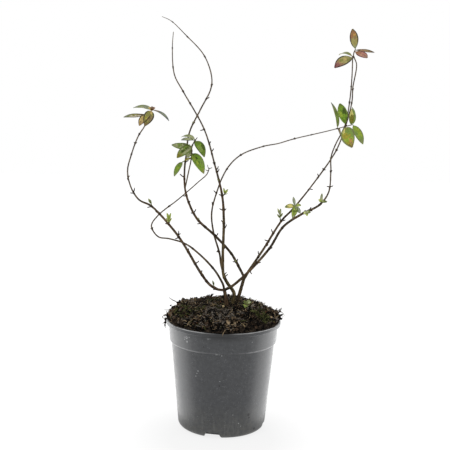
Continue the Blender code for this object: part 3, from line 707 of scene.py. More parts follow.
# The stems and boughs. Thin brown wood that forks low down and arches out, with a swollen
# knuckle every few centimetres and the stubs of two opposite leaves or buds at each. A limb is
# one tube along its route from the ground or its fork to its tip, with ridged bark.
Limb = namedtuple("Limb", "route girth nodes knuckles")
LIMBS = {
    "left_stem": Limb(
        route=((4, -6, 176), (4, -6, 183), (3, -6, 196), (0, -8, 211)),
        girth=((0, 4.4), (7, 3.4), (14, 2.9), (35, 2.5)),
        nodes=("stem_left",),
        knuckles=(),
    ),
    "centre": Limb(
        route=((12, 2, 176), (12, 2, 183), (15, 3, 202), (5.4, 2, 216.6), (-1.3, 1, 230),
               (-3, 0, 257), (-2.7, -5, 314), (-6, -4, 350), (-17.4, 1, 393), (-34.4, 12, 444.8),
               (-66, 24, 498), (-80, 30, 523), (-84, 36, 562), (-83, 40, 586)),
        girth=((0, 4.2), (7, 3.4), (14, 2.9), (67, 2.3), (187, 1.7), (222, 1.3), (307, 1.05),
               (380, 0.9), (437, 0.5)),
        nodes=("stem_centre_lower", "stem_centre_upper"),
        knuckles=(55, 138, 159, 179, 200, 215, 227, 242, 257, 280, 301, 323, 344, 384, 412),
    ),
    "right_stem": Limb(
        route=((18, 8, 176), (19, 8, 183), (25, 10, 207), (30, 12, 226)),
        girth=((0, 4.0), (7, 3.2), (14, 2.8), (52, 2.4)),
        nodes=("stem_right",),
        knuckles=(),
    ),
    "left": Limb(
        route=((0, -8, 209), (-9.5, -10, 210.5), (-20.6, -14, 217.5), (-33.7, -22, 235.5),
               (-63, -38, 287), (-82, -47, 313), (-105.5, -56, 338.5), (-121.9, -62, 347.6),
               (-132.6, -67, 365.3), (-137, -72, 388), (-131, -79, 412), (-121, -86, 437.6),
               (-112, -88, 452), (-102, -92, 475)),
        girth=((0, 2.1), (110, 1.8), (185, 1.45), (215, 1.05), (339, 0.8)),
        nodes=("bough_left_lower", "bough_left_upper", "leaves_left"),
        knuckles=(14, 33, 45, 67, 88, 116, 141, 161, 177, 210, 235, 269, 286, 300, 321),
    ),
    "front": Limb(
        route=((0, -8, 209), (11.5, -13, 216.5), (34.3, -14, 237.8), (64.7, -20, 275.3),
               (83.6, -25, 308.4), (109.4, -30, 328.2), (134, -31, 342), (147, -26, 360),
               (150, -18, 389), (150, -14, 409), (154, -15, 424), (168, -18, 457),
               (172, -25, 490), (173, -31, 523), (172, -37, 553)),
        girth=((0, 2.1), (90, 1.85), (180, 1.7), (225, 1.05), (417, 0.8)),
        nodes=("bough_front_lower", "bough_front_upper", "leaves_front"),
        knuckles=(65, 94, 131, 169, 178, 195, 225, 248, 267, 352, 375),
    ),
    "loop": Limb(
        route=((0, -7, 210), (-2, -4, 217), (-14, 10, 234), (-35, 26, 253), (-60, 40, 269),
               (-86, 50, 275), (-103, 54, 277), (-114, 56, 293), (-105.3, 58, 308.3),
               (-72.3, 70, 335.2), (-43, 80, 361), (-31, 85, 372), (-27, 88, 382)),
        girth=((0, 1.75), (80, 1.45), (130, 1.15), (293, 0.8)),
        nodes=("bough_loop_lower", "bough_loop_upper"),
        knuckles=(40, 85, 160, 207),
    ),
    "back": Limb(
        route=((3, 3, 220), (-5, 11, 242), (-8, 18, 259), (-18, 29, 290), (-21.4, 38, 317.8),
               (-15.3, 47, 345.7), (-0.3, 58, 382.5), (20, 66, 404), (55, 74, 418), (78, 74, 423),
               (103, 72, 431), (147, 60, 443), (187, 46, 455)),
        girth=((0, 1.7), (60, 1.45), (120, 1.2), (250, 0.9), (390, 0.65)),
        nodes=("bough_back_lower", "bough_back_upper", "leaves_back"),
        knuckles=(46, 121, 139, 179, 210, 249, 298, 325, 365),
    ),
    "tall": Limb(
        route=((30, 12, 224), (23.4, 14, 236.6), (9, 14, 261), (-16, 11, 288), (-41.3, 3, 312.2),
               (-54.3, -7, 338), (-60, -14, 360), (-61, -14, 387), (-59, -14, 408),
               (-55, -15, 440), (-39.4, -22, 473.7), (-25, -33, 503), (-24, -38, 520),
               (-35, -47, 549), (-60, -58, 575), (-80, -67, 593), (-92, -72, 598)),
        girth=((0, 2.0), (110, 1.85), (190, 1.35), (300, 1.05), (400, 0.7), (454, 0.35)),
        nodes=("bough_tall_lower", "bough_tall_middle", "bough_tall_upper"),
        knuckles=(21, 27, 42, 79, 99, 114, 128, 147, 159, 184, 209, 232, 266, 307, 329, 371,
                  408, 437),
    ),
    "middle": Limb(
        route=((-60, -14, 359), (-56, -19, 379), (-51, -25, 405), (-50, -29, 422),
               (-45, -31, 432)),
        girth=((0, 0.95), (77, 0.85)),
        nodes=("leaves_middle",),
        knuckles=(48, 67, 76),
    ),
    "outer": Limb(
        route=((30, 12, 223), (37, 11, 236), (57, 3, 270), (83, -7, 316), (96, -12, 331),
               (119.5, -21, 363.6), (148.3, -32, 408.8), (157, -34, 426), (167, -36, 458),
               (173, -41, 489), (173, -45, 509), (176, -50, 541), (171, -52, 553),
               (173, -53, 561)),
        girth=((0, 2.0), (50, 1.75), (130, 1.5), (165, 1.1), (385, 0.8)),
        nodes=("bough_outer_lower", "bough_outer_middle", "leaves_outer", "bough_outer_upper",
               "leaves_outer_top"),
        knuckles=(13, 41, 65, 84, 107, 134, 169, 192, 206, 239, 276, 309, 328, 374),
    ),
}
BARK_STEP = 1.1                 # mm between rings
KNUCKLE_SWELL = 0.38            # mm
KNUCKLE_HALF = 1.5              # mm along the limb
STUB_LENGTHS = (3.2, 6.0)       # mm


def smooth_route(route):
    """Points a millimetre or less apart on a smooth curve through a route, in metres.

    The knots are spaced by the root of their distance, so close turning points make no loops.
    """
    knots = [Vector(point) for point in route]
    knots = [2 * knots[0] - knots[1]] + knots + [2 * knots[-1] - knots[-2]]
    curve = []
    for p0, p1, p2, p3 in zip(knots, knots[1:], knots[2:], knots[3:]):
        t1 = math.sqrt((p1 - p0).length)
        t2 = t1 + math.sqrt((p2 - p1).length)
        t3 = t2 + math.sqrt((p3 - p2).length)
        steps = math.ceil((p2 - p1).length)
        for step in range(steps):
            t = t1 + (t2 - t1) * step / steps
            a1 = p0.lerp(p1, t / t1)
            a2 = p1.lerp(p2, (t - t1) / (t2 - t1))
            a3 = p2.lerp(p3, (t - t2) / (t3 - t2))
            b1 = a1.lerp(a2, t / t2)
            b2 = a2.lerp(a3, (t - t1) / (t3 - t1))
            curve.append(b1.lerp(b2, (t - t1) / (t2 - t1)) * MM)
    curve.append(knots[-2] * MM)
    return curve


class Track:
    """A smooth route that can be asked for its point, direction and radius at a distance."""

    def __init__(self, route, girth):
        self.points = smooth_route(route)
        self.marks = [0]
        for start, end in zip(self.points, self.points[1:]):
            self.marks.append(self.marks[-1] + (end - start).length)
        self.length = self.marks[-1]
        self.girth = girth

    def point(self, distance):
        last = len(self.points) - 2
        index = min(max(bisect_right(self.marks, distance) - 1, 0), last)
        share = (distance - self.marks[index]) / (self.marks[index + 1] - self.marks[index])
        return self.points[index].lerp(self.points[index + 1], share)

    def direction(self, distance):
        behind = self.point(max(distance - MM, 0))
        return (self.point(min(distance + MM, self.length)) - behind).normalized()

    def radius(self, distance):
        for (start, wide), (end, narrow) in zip(self.girth, self.girth[1:]):
            if distance <= end * MM:
                share = max(0, (distance / MM - start) / (end - start))
                return (wide + (narrow - wide) * share) * MM
        return self.girth[-1][1] * MM


def swelling(limb, distance):
    """How near a knuckle is, from 0 to 1."""
    return max([math.exp(-((distance / MM - knuckle) / KNUCKLE_HALF) ** 2)
                for knuckle in limb.knuckles], default=0)


def limb_bark(name, limb, rng):
    """A limb's bark as a bmesh: its tube, ridged, and the stubs at its knuckles."""
    track = Track(limb.route, limb.girth)
    bm = bmesh.new()
    layers = {layer: bm.verts.layers.float.new(layer) for layer in BARK_LAYERS}
    rings = round(track.length / (BARK_STEP * MM))
    distances = [track.length * ring / rings for ring in range(rings + 1)]
    radii = [track.radius(distance) + KNUCKLE_SWELL * MM * swelling(limb, distance)
             for distance in distances]
    radii[-1] *= 0.4
    sides = 12 if track.radius(0) > 1.6 * MM else 8
    tube(bm, [track.point(distance) for distance in distances], radii, sides,
         layers=(layers["turn"], layers["along"]))
    bm.normal_update()
    for vert in bm.verts:
        turn, along = vert[layers["turn"]], vert[layers["along"]] / MM
        radius = track.radius(along * MM)
        ridge = noise.noise(Vector((2.2 * math.cos(turn), 2.2 * math.sin(turn), along * 0.09)))
        lump = noise.noise(Vector((math.cos(turn), math.sin(turn), along * 0.35)))
        vert.co += vert.normal * radius * (0.12 * ridge + 0.08 * lump)
        # How high the ridge stands, for the painted shade and painted highlight on the bark.
        vert[layers["ridge"]] = min(1, max(0, 0.5 + 1.3 * ridge))
        vert[layers["age"]] = min(1, max(0, (radius / MM - 0.8) / 1.5))
        vert[layers["knot"]] = swelling(limb, along * MM)
        for tone, strength, start, end in TONES.get(name, ()):
            inside = min(1, max(0, min(along - start, end - along) / 10 + 0.5))
            vert[layers[tone]] = max(vert[layers[tone]], strength * inside)
    for index, knuckle in enumerate(limb.knuckles):
        if any(abs(knuckle - distance) < 5 for distance, _, _ in STUBS.get(name, ())):
            continue
        distance = knuckle * MM
        ahead = track.direction(distance)
        across = ahead.orthogonal().normalized()
        turn = (index % 2) * math.pi / 2 + rng.uniform(-0.4, 0.4)
        for half in (0, math.pi):
            if rng.random() < 0.15:
                continue
            out = Matrix.Rotation(turn + half, 3, ahead) @ across
            lean = out + ahead * rng.uniform(0.3, 1.0)
            length = rng.uniform(*STUB_LENGTHS) * MM
            length *= min(1, (track.radius(distance) / (1.5 * MM)) ** 2)
            grow_stub(bm, track, distance, lean, length, layers, rng.random() < 0.2)
    for distance, reach, green in STUBS.get(name, ()):
        reach = Vector(reach) * MM
        grow_stub(bm, track, distance * MM, reach, reach.length, layers, green)
    return bm


def grow_stub(bm, track, distance, lean, length, layers, green):
    """A short pointed stub that leans out from a limb, green-tipped where a bud has swollen."""
    limb_radius = track.radius(distance)
    base = min(0.95 * MM, limb_radius * 0.8)
    lean = lean.normalized()
    foot = track.point(distance) + lean * limb_radius * 0.4
    middle = foot + lean * (limb_radius * 0.5 + length * 0.5)
    tip = middle + (lean + track.direction(distance) * 0.3).normalized() * length * 0.5
    before = set(bm.verts)
    tube(bm, [foot, foot.lerp(middle, 0.6), middle, middle.lerp(tip, 0.6), tip],
         [base, base * 0.95, base * 0.9, base * 0.8, base * 0.4], 5)
    for vert in bm.verts:
        if vert not in before:
            vert[layers["age"]] = 0.75
            vert[layers["knot"]] = 0.5
            vert[layers["red"]] = 0.5
            out = ((vert.co - foot).dot(lean) / length) if green else 0
            vert[layers["green"]] = min(1, max(0, out * 1.6 - 0.3))


def bark_finish():
    """Bark: scaly and dark where old, paler where young, reddish or olive in places, with painted shade
    in its grooves and painted highlights on its ridges.
    """
    finish = Finish("bark", Roughness=0.85, Specular_IOR_Level=0.12)
    age = finish.attribute("age")
    patch = finish.grain(3.2 * MM, finish.place((1, 1, 0.5)), detail=4).above(0.36, 0.6)
    fleck = finish.grain(0.9 * MM, detail=3).above(0.5, 0.66)
    warm = finish.grain(16 * MM, detail=2).above(0.4, 0.62)
    old = finish.mix(patch, seen(24, 19, 13), seen(78, 67, 48))
    red = finish.mix(patch, seen(46, 26, 18), seen(110, 78, 54))
    olive = finish.mix(patch, seen(36, 29, 12), seen(94, 84, 48))
    young = finish.mix(patch, seen(57, 47, 39), seen(112, 101, 88))
    colour = finish.mix(warm * 0.4, old, red)
    colour = finish.mix((1 - age).above(0.35, 0.85), colour, young)
    colour = finish.mix(finish.attribute("red"), colour, red)
    colour = finish.mix(finish.attribute("olive"), colour, olive)
    colour = finish.mix(finish.attribute("dark"), colour, seen(22, 17, 12))
    ridge = finish.attribute("ridge")
    # Painted shade in the grooves between the ridges, and a painted highlight on the ridges' tops.
    colour = finish.mix((1 - ridge).above(0.4, 0.9) * 0.6, colour, seen(24, 18, 13))
    colour = finish.mix(ridge.above(0.5, 1) * 0.3, colour, seen(150, 128, 88))
    colour = finish.mix(fleck * 0.3, colour, seen(138, 122, 96))
    colour = finish.mix(finish.attribute("knot") * 0.6, colour, seen(36, 26, 20))
    colour = finish.mix(finish.attribute("green"), colour, seen(138, 146, 88))
    finish.feed("Base Color", colour)
    finish.feed("Roughness", 0.75 + patch * 0.2)
    finish.bump(patch * 0.6 + fleck * 0.4, 0.25 * MM, 0.7)
    return finish.material


BARK_LAYERS = ("turn", "along", "ridge", "age", "knot", "green", "red", "olive", "dark")
# Where a limb is redder, greener or darker: the tone, its strength, and its start and end in mm.
TONES = {
    "left_stem": (("red", 0.8, -10, 40), ("dark", 0.5, -10, 40)),
    "left": (("red", 0.5, -10, 60), ("red", 0.2, 60, 190), ("dark", 0.45, 52, 78)),
    "centre": (("olive", 0.8, -10, 75), ("olive", 0.4, 75, 150), ("red", 0.3, 150, 200)),
    "right_stem": (("dark", 0.5, 8, 36),),
    "front": (("red", 0.2, 20, 180), ("dark", 0.4, -10, 20), ("dark", 0.75, 84, 152)),
    "outer": (("olive", 0.3, -10, 60), ("red", 0.2, 60, 200), ("dark", 0.7, 112, 130)),
    "tall": (("red", 0.2, 80, 150), ("red", 0.5, 150, 190), ("dark", 0.55, -10, 104)),
    "back": (("olive", 0.5, -10, 34), ("dark", 0.7, 30, 62), ("dark", 0.4, 85, 115)),
    "loop": (("dark", 0.8, -10, 44),),
}
# Stubs that show plainly: the distance along the limb, the way and length in mm, and whether
# its tip is green.
STUBS = {
    "left": ((38, (-5, -2, 7), False), (48, (1, -1, 4), False),
             (67, (5, -1, 3), False), (115, (-4, -1, -2), False), (117, (1, -2, 7), False),
             (120, (4, -1, 1), False), (210, (-4, -1, 0), False), (211, (2, -2, 6), False),
             (229, (-2, -1, 3), False), (235, (2, -1, 1), False)),
    "front": ((50, (2, -1, -4), False), (93, (4, -1, 2), False), (103, (2, -1, 4), False),
              (133, (4, -1, 3), False), (226, (-4, -1, 0), False), (226, (4, -1, 1), False)),
    "outer": ((43, (-2, -2, 6), False), (59, (4, -1, 3), False), (70, (-5, -1, 1), False),
              (84, (-3, -1, 5), False), (171, (4, -1, -1), False), (194, (-2, -1, 3), False)),
    "tall": ((21, (-4, -2, 7), True), (42, (-2, -1, 4), False), (77, (3, -1, 4), False),
             (101, (-3, -1, 4), False), (108, (-4, -1, -1), False), (159, (-3, -1, -1), False),
             (186, (-6, -2, 4), False), (307, (4, -1, 2), False)),
    "centre": ((59, (3, -1, 3), False), (56, (4, -1, 3), False), (98, (3, -1, 3), False),
               (128, (4, -1, 7), False),
               (156, (3, -1, 3), False), (157, (-5, -1, 2), False), (213, (3, -2, 5), False),
               (217, (3, -2, 5), False), (245, (3, -1, 4), False), (258, (2, -1, 2), False),
               (280, (-5, -1, -2), False)),
    "back": ((44, (-3, -1, 3), False), (50, (-2, -1, -3), False), (118, (-1, -1, 6), False),
             (139, (-4, -1, 3), False)),
    "loop": ((39, (-4, -2, 5), False), (52, (5, -2, -4), False), (291, (-4, -1, 1), False),
             (294, (-3, -2, 6), False), (295, (4, -1, 1), False)),
    "middle": ((75, (3, -1, 4), False),),
}

BARK = bark_finish()
tracks = {}
for name, limb in LIMBS.items():
    tracks[name] = Track(limb.route, limb.girth)
    bark = place_mesh(f"bark_{name}", limb_bark(name, limb, random.Random(name)), BARK)
    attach(bark, "root")
    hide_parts(*limb.nodes)


# The leaves. Opposite pairs of oval leaves on short stalks, only at the ends of the boughs.
# Each is a thin, closed blade, folded along its midrib, arched, and creased by its veins.
# They are last year's leaves: some green, some grey-green from below, some turning red.
FOOT_POWER = 0.8                # how pointed a leaf's foot is: less is rounder
TIP_POWER = 0.75                # the same at its tip
Leaf = namedtuple("Leaf", "at reach width face arch foot tints margin patches",
                  defaults=("edge", ()))
UP = (0, 0, 1)
FRONT = (0, -1, 0.3)
TILTED = (0, -0.4, 1)
RAISED = (0, -1, 0.7)
LEAF_COLOURS = {
    "grey": (134, 140, 116), "ash": (160, 165, 120), "slate": (92, 100, 92),
    "mould": (200, 192, 168), "sage": (124, 134, 82), "moss": (100, 118, 46),
    "deep": (72, 92, 26), "shade": (54, 62, 34), "green": (98, 128, 36),
    "leafy": (124, 148, 66), "fresh": (118, 152, 42), "lime": (144, 164, 54),
    "gold": (158, 150, 50), "honey": (206, 198, 116), "dusk": (122, 116, 24),
    "amber": (184, 146, 80), "straw": (166, 158, 96), "tan": (138, 120, 84),
    "sand": (200, 176, 112), "olive": (136, 134, 70), "bronze": (120, 104, 62),
    "umber": (80, 62, 38), "edge": (88, 92, 50), "teak": (112, 82, 30),
    "copper": (160, 114, 78), "clay": (160, 134, 90), "rose": (184, 130, 114),
    "plum": (142, 96, 86), "wine": (104, 56, 62), "blush": (158, 126, 104),
    "bud": (152, 122, 90), "soot": (66, 60, 42),
}
SPRAYS = {
    "leaves_left": ("left", (
        Leaf(338, (-26, 10, 2), 11, TILTED, 3, 0.5, ("ash", "grey", "sage", "grey"), "sage",
             (("ash", 0.5, -0.5, 0.16),)),
        Leaf(329, (-33, -14, -2), 12, TILTED, 1, 0.6,
             ("teak", "teak", "bronze", "olive", "olive", "sage", "grey"), "umber",
             (("mould", 0.25, 0, 0.09), ("mould", 0.4, 0, 0.1), ("mould", 0.55, 0, 0.1),
              ("mould", 0.7, 0, 0.1), ("mould", 0.55, -0.5, 0.18))),
        Leaf(337, (-7, -21, -20), 13.5, (0.3, -1, 0.6), 2, 0.55,
             ("sand", "olive", "straw", "straw", "olive", "bronze"), "soot",
             (("tan", 0.5, -0.55, 0.16), ("sand", 0.6, -0.3, 0.07), ("olive", 0.4, 0.4, 0.1),
              ("gold", 0.6, 0.4, 0.08))),
        Leaf(334, (-13, -21, -17), 13, (-0.4, -1, 0.6), 2, 0.7,
             ("olive", "straw", "sand", "sand", "clay"), "umber"),
        Leaf(338, (24, -9, -14), 7, (0, -0.2, 1), 3.5, 0.8,
             ("plum", "blush", "slate", "grey", "grey", "slate"), "slate"),
        Leaf(338, (5, -4, 3), 4.4, (0, -1, 0.4), 1, 0.6, ("bud", "blush"), "bud"),
        Leaf(338, (1, -5, 5), 3.6, (0, -1, 0.4), 1, 0.6, ("teak", "blush"), "umber"),
        Leaf(338, (-4, -5, 3), 4.2, (0, -1, 0.4), 1, 0.6, ("bud", "sand"), "sand"),
    )),
    "leaves_middle": ("middle", (
        Leaf(76, (-21, 13, 3), 9, TILTED, 4, 0.6, ("ash", "ash", "sage", "grey"), "sage"),
        Leaf(75, (-19, -14, 1), 9, (0, -0.5, 1), 1.5, 0.6, ("sage", "ash", "ash", "grey"),
             "slate"),
        Leaf(75, (14, -12, -22), 13.5, (0.4, -1, 0.5), 4, 0.5,
             ("moss", "green", "fresh", "leafy", "green", "moss"), "deep",
             (("leafy", 0.6, 0.5, 0.2), ("deep", 0.5, -0.8, 0.18))),
        Leaf(65, (-29, 0, 2), 10.5, RAISED, -1.5, 0.6,
             ("deep", "moss", "sage", "ash", "leafy", "ash", "sage"), "moss"),
        Leaf(67, (-21, -13, -17), 14.5, (-0.3, -1, 0.7), 1.5, 0.6,
             ("sage", "moss", "leafy", "moss", "leafy", "olive", "dusk"), "moss",
             (("ash", 0.3, -0.6, 0.2), ("ash", 0.55, -0.75, 0.14), ("deep", 0.35, 0.1, 0.09),
              ("deep", 0.6, 0.2, 0.07), ("ash", 0.6, 0.6, 0.1))),
        Leaf(64, (-7, 12, -15), 9, FRONT, 1, 0.5, ("moss", "sage", "ash", "ash"), "moss"),
        Leaf(56, (18, -3, -29), 16, (0.5, -1, 0.5), 3.5, 0.45,
             ("moss", "fresh", "fresh", "green", "fresh", "fresh", "olive"), "leafy",
             (("lime", 0.25, 0.6, 0.14), ("lime", 0.5, 0.3, 0.1), ("deep", 0.3, 0, 0.07),
              ("leafy", 0.55, -0.6, 0.16))),
        Leaf(48, (-9, -4, -3), 3.6, RAISED, 1, 0.8, ("dusk", "honey", "gold"), "gold"),
    )),
    "leaves_back": ("back", (
        Leaf(366, (-11, 2, 39), 8, (0.8, -1, 0.2), 5, 0.5,
             ("sage", "moss", "leafy", "moss", "sage", "slate"), "olive"),
        Leaf(366, (9, 20, -14), 11, RAISED, 1, 0.6, ("umber", "tan", "sage", "umber"), "soot"),
        Leaf(388, (-4, -16, 25), 9, (0.3, -1, 0), 1, 0.6,
             ("moss", "dusk", "dusk", "dusk", "honey", "honey"), "moss"),
        Leaf(390, (0, 14, 26), 9, (0.8, -1, 0), 2.5, 0.6,
             ("leafy", "leafy", "sage", "leafy", "sage"), "sage"),
        Leaf(390, (15, -11, -28), 13, (0.2, -1, 0.4), 2.5, 0.6,
             ("leafy", "lime", "lime", "lime", "leafy", "sage"), "sage",
             (("leafy", 0.4, 0.6, 0.16),)),
    )),
    "leaves_outer": ("outer", (
        Leaf(277, (-9, 7, 30), 13.5, FRONT, 1, 0.8,
             ("green", "green", "fresh", "green", "fresh", "moss"), "leafy",
             (("deep", 0.6, 0.5, 0.12), ("shade", 0.55, 0.8, 0.11), ("shade", 0.72, 0.8, 0.1),
              ("lime", 0.5, -0.5, 0.12))),
        Leaf(275, (8, -19, -28), 20, (-0.5, -1, 0.3), 3.5, 0.6,
             ("olive", "leafy", "lime", "gold", "lime", "lime", "gold", "bronze"), "sage",
             (("honey", 0.24, 0.5, 0.1), ("leafy", 0.3, -0.5, 0.18),
              ("green", 0.2, -0.3, 0.08), ("leafy", 0.52, -0.8, 0.16),
              ("gold", 0.45, 0.4, 0.14), ("amber", 0.72, -0.2, 0.09),
              ("clay", 0.84, -0.3, 0.08))),
    )),
    "leaves_outer_top": ("outer", (
        Leaf(385, (-6, -7, 27), 12, FRONT, 1, 0.8,
             ("sage", "ash", "straw", "straw", "straw", "clay", "amber", "copper", "bronze"),
             "soot", (("copper", 0.7, -0.4, 0.1),)),
        Leaf(382, (15, -20, -9), 11, RAISED, 1, 1.0,
             ("copper", "copper", "rose", "rose", "blush"), "wine", (("sand", 0.6, 0.3, 0.06),)),
        Leaf(384, (28, 9, -2), 8.5, (0, -0.6, 1), 0.5, 0.8,
             ("umber", "clay", "copper", "clay", "tan", "umber"), "umber"),
    )),
    "leaves_front": ("front", (
        Leaf(416, (-26, -12, -15), 16, (-0.3, -1, 0.7), 3.5, 0.7,
             ("bronze", "straw", "straw", "straw", "straw", "clay", "plum", "wine"), "soot",
             (("sand", 0.4, 0.2, 0.08), ("olive", 0.3, -0.5, 0.12), ("olive", 0.6, 0.4, 0.08))),
        Leaf(417, (-16, 24, 3), 8, (0, -0.6, 1), 4, 0.8, ("olive", "sage", "ash", "olive"),
             "olive"),
    )),
}
LEAF_STEPS = 20                 # along a leaf
LEAF_ROWS = (0, 0.1, 0.27, 0.44, 0.6, 0.77, 1)   # across each half
MARGIN = 0.79                   # the margin's inner edge, as a share of the half width
LEAF_STALK = 0.06               # the stalk's share of a leaf
LEAF_THICKNESS = 0.45
STALK_WIDTH = 1.1
LEAF_FOLD = 0.16                # how far a leaf's edges rise, as a share of its half width
VEINS = 6                       # side veins on each half


def half_width(share, foot_power):
    """A leaf's half width, 1 at its widest, at a share of the way from foot to tip."""
    blade = max(0, (share - LEAF_STALK) / (1 - LEAF_STALK))
    widest = foot_power / (foot_power + TIP_POWER)
    return (blade / widest) ** foot_power * ((1 - blade) / (1 - widest)) ** TIP_POWER


def spot_tint(leaf, share, across, seed):
    """The colour of a spot on a leaf: patches, margin and zones, with ragged lines between."""
    rag = noise.noise(Vector((across * 2.2, share * 5, seed * 1.7)))
    speckle = noise.noise(Vector((across * 9, share * 26, seed * 2.3)))
    if abs(across) > MARGIN + 0.08 * rag and share > LEAF_STALK:
        return leaf.margin
    for tint, middle, side, size in leaf.patches:
        reach = size * (1 + 0.6 * rag + 0.6 * speckle)
        if math.hypot(share - middle, (across - side) * 0.3) < reach:
            return tint
    zone = int((share + 0.14 * rag + 0.1 * speckle) * len(leaf.tints))
    return leaf.tints[min(max(zone, 0), len(leaf.tints) - 1)]


def leaf_blade(foot, leaf, palette, seed):
    """One leaf as a mesh to stamp: a grid laid out as a blade, then given its thickness."""
    reach = Vector(leaf.reach)
    along = reach.normalized()
    up = Vector(leaf.face)
    up = (up - along * up.dot(along)).normalized()
    side = along.cross(up)
    bm = bmesh.new()
    rows = len(LEAF_ROWS) - 1
    bmesh.ops.create_grid(bm, x_segments=LEAF_STEPS, y_segments=2 * rows, size=1)
    places = {}
    for vert in bm.verts:
        share = (vert.co.x + 1) / 2
        across = math.copysign(LEAF_ROWS[round(abs(vert.co.y) * rows)], vert.co.y)
        places[vert] = (share, across)
        inner = min(max(share, 0.015), 0.985)
        width = max(leaf.width / 2 * half_width(inner, leaf.foot), STALK_WIDTH / 2 * (1 - share) ** 0.5)
        out = abs(across)
        size = min(1, leaf.width / 10)
        rise = leaf.arch * 4 * share * (1 - share)
        rise += LEAF_FOLD * width * out - 0.2 * size * math.exp(-(out / 0.14) ** 2) * (1 - share)
        vein = math.cos(math.tau * (VEINS * share - 1.3 * out))
        rise += 0.12 * size * vein * out * (1 - out) * 4 * math.sin(math.pi * share)
        wave = noise.noise(Vector((share * 3, across * 1.5, seed * 2.7)))
        rise += 0.6 * size * wave * out * math.sin(math.pi * share)
        vert.co = foot + (reach * share + side * width * across + up * rise) * MM
    for face in bm.faces:
        share = sum(places[vert][0] for vert in face.verts) / len(face.verts)
        across = sum(places[vert][1] for vert in face.verts) / len(face.verts)
        face.material_index = palette.index(spot_tint(leaf, share, across, seed))
    bmesh.ops.solidify(bm, geom=bm.faces[:], thickness=LEAF_THICKNESS * MM)
    bmesh.ops.recalc_face_normals(bm, faces=bm.faces)
    mesh = bpy.data.meshes.new("leaf")
    bm.to_mesh(mesh)
    bm.free()
    return mesh


def leaf_finish(name, colour):
    """A leaf's surface in one colour, mottled, with a soft, slightly waxy gloss."""
    finish = Finish(f"leaf {name}", Roughness=0.55, Specular_IOR_Level=0.15)
    mottle = finish.grain(2.4 * MM, detail=3).above(0.3, 0.7)
    dark = seen(*[level * 0.88 for level in colour])
    light = seen(*[min(255, level * 1.12) for level in colour])
    finish.feed("Base Color", finish.mix(mottle, dark, light))
    finish.feed("Roughness", 0.5 + mottle * 0.15)
    finish.bump(finish.grain(0.7 * MM), 0.1 * MM, 0.3)
    return finish.material


leaf_materials = {name: leaf_finish(name, colour) for name, colour in LEAF_COLOURS.items()}


def palette_of(leaves):
    """The names of the colours that some leaves use, in order."""
    names = {name for leaf in leaves for name in (*leaf.tints, leaf.margin)}
    names |= {patch[0] for leaf in leaves for patch in leaf.patches}
    return sorted(names)


def foliage(feet_and_leaves, palette):
    """Leaves joined into one bmesh."""
    bm = bmesh.new()
    for seed, (foot, leaf) in enumerate(feet_and_leaves):
        blade = leaf_blade(foot, leaf, palette, seed)
        stamp(bm, blade, Matrix.Identity(4))
        bpy.data.meshes.remove(blade)
    return bm


for name, (limb_name, leaves) in SPRAYS.items():
    track = tracks[limb_name]
    palette = palette_of(leaves)
    feet = [(track.point(leaf.at * MM), leaf) for leaf in leaves]
    spray = place_mesh(f"foliage_{name}", foliage(feet, palette),
                       *[leaf_materials[tint] for tint in palette])
    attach(spray, "root")
    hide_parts(name)


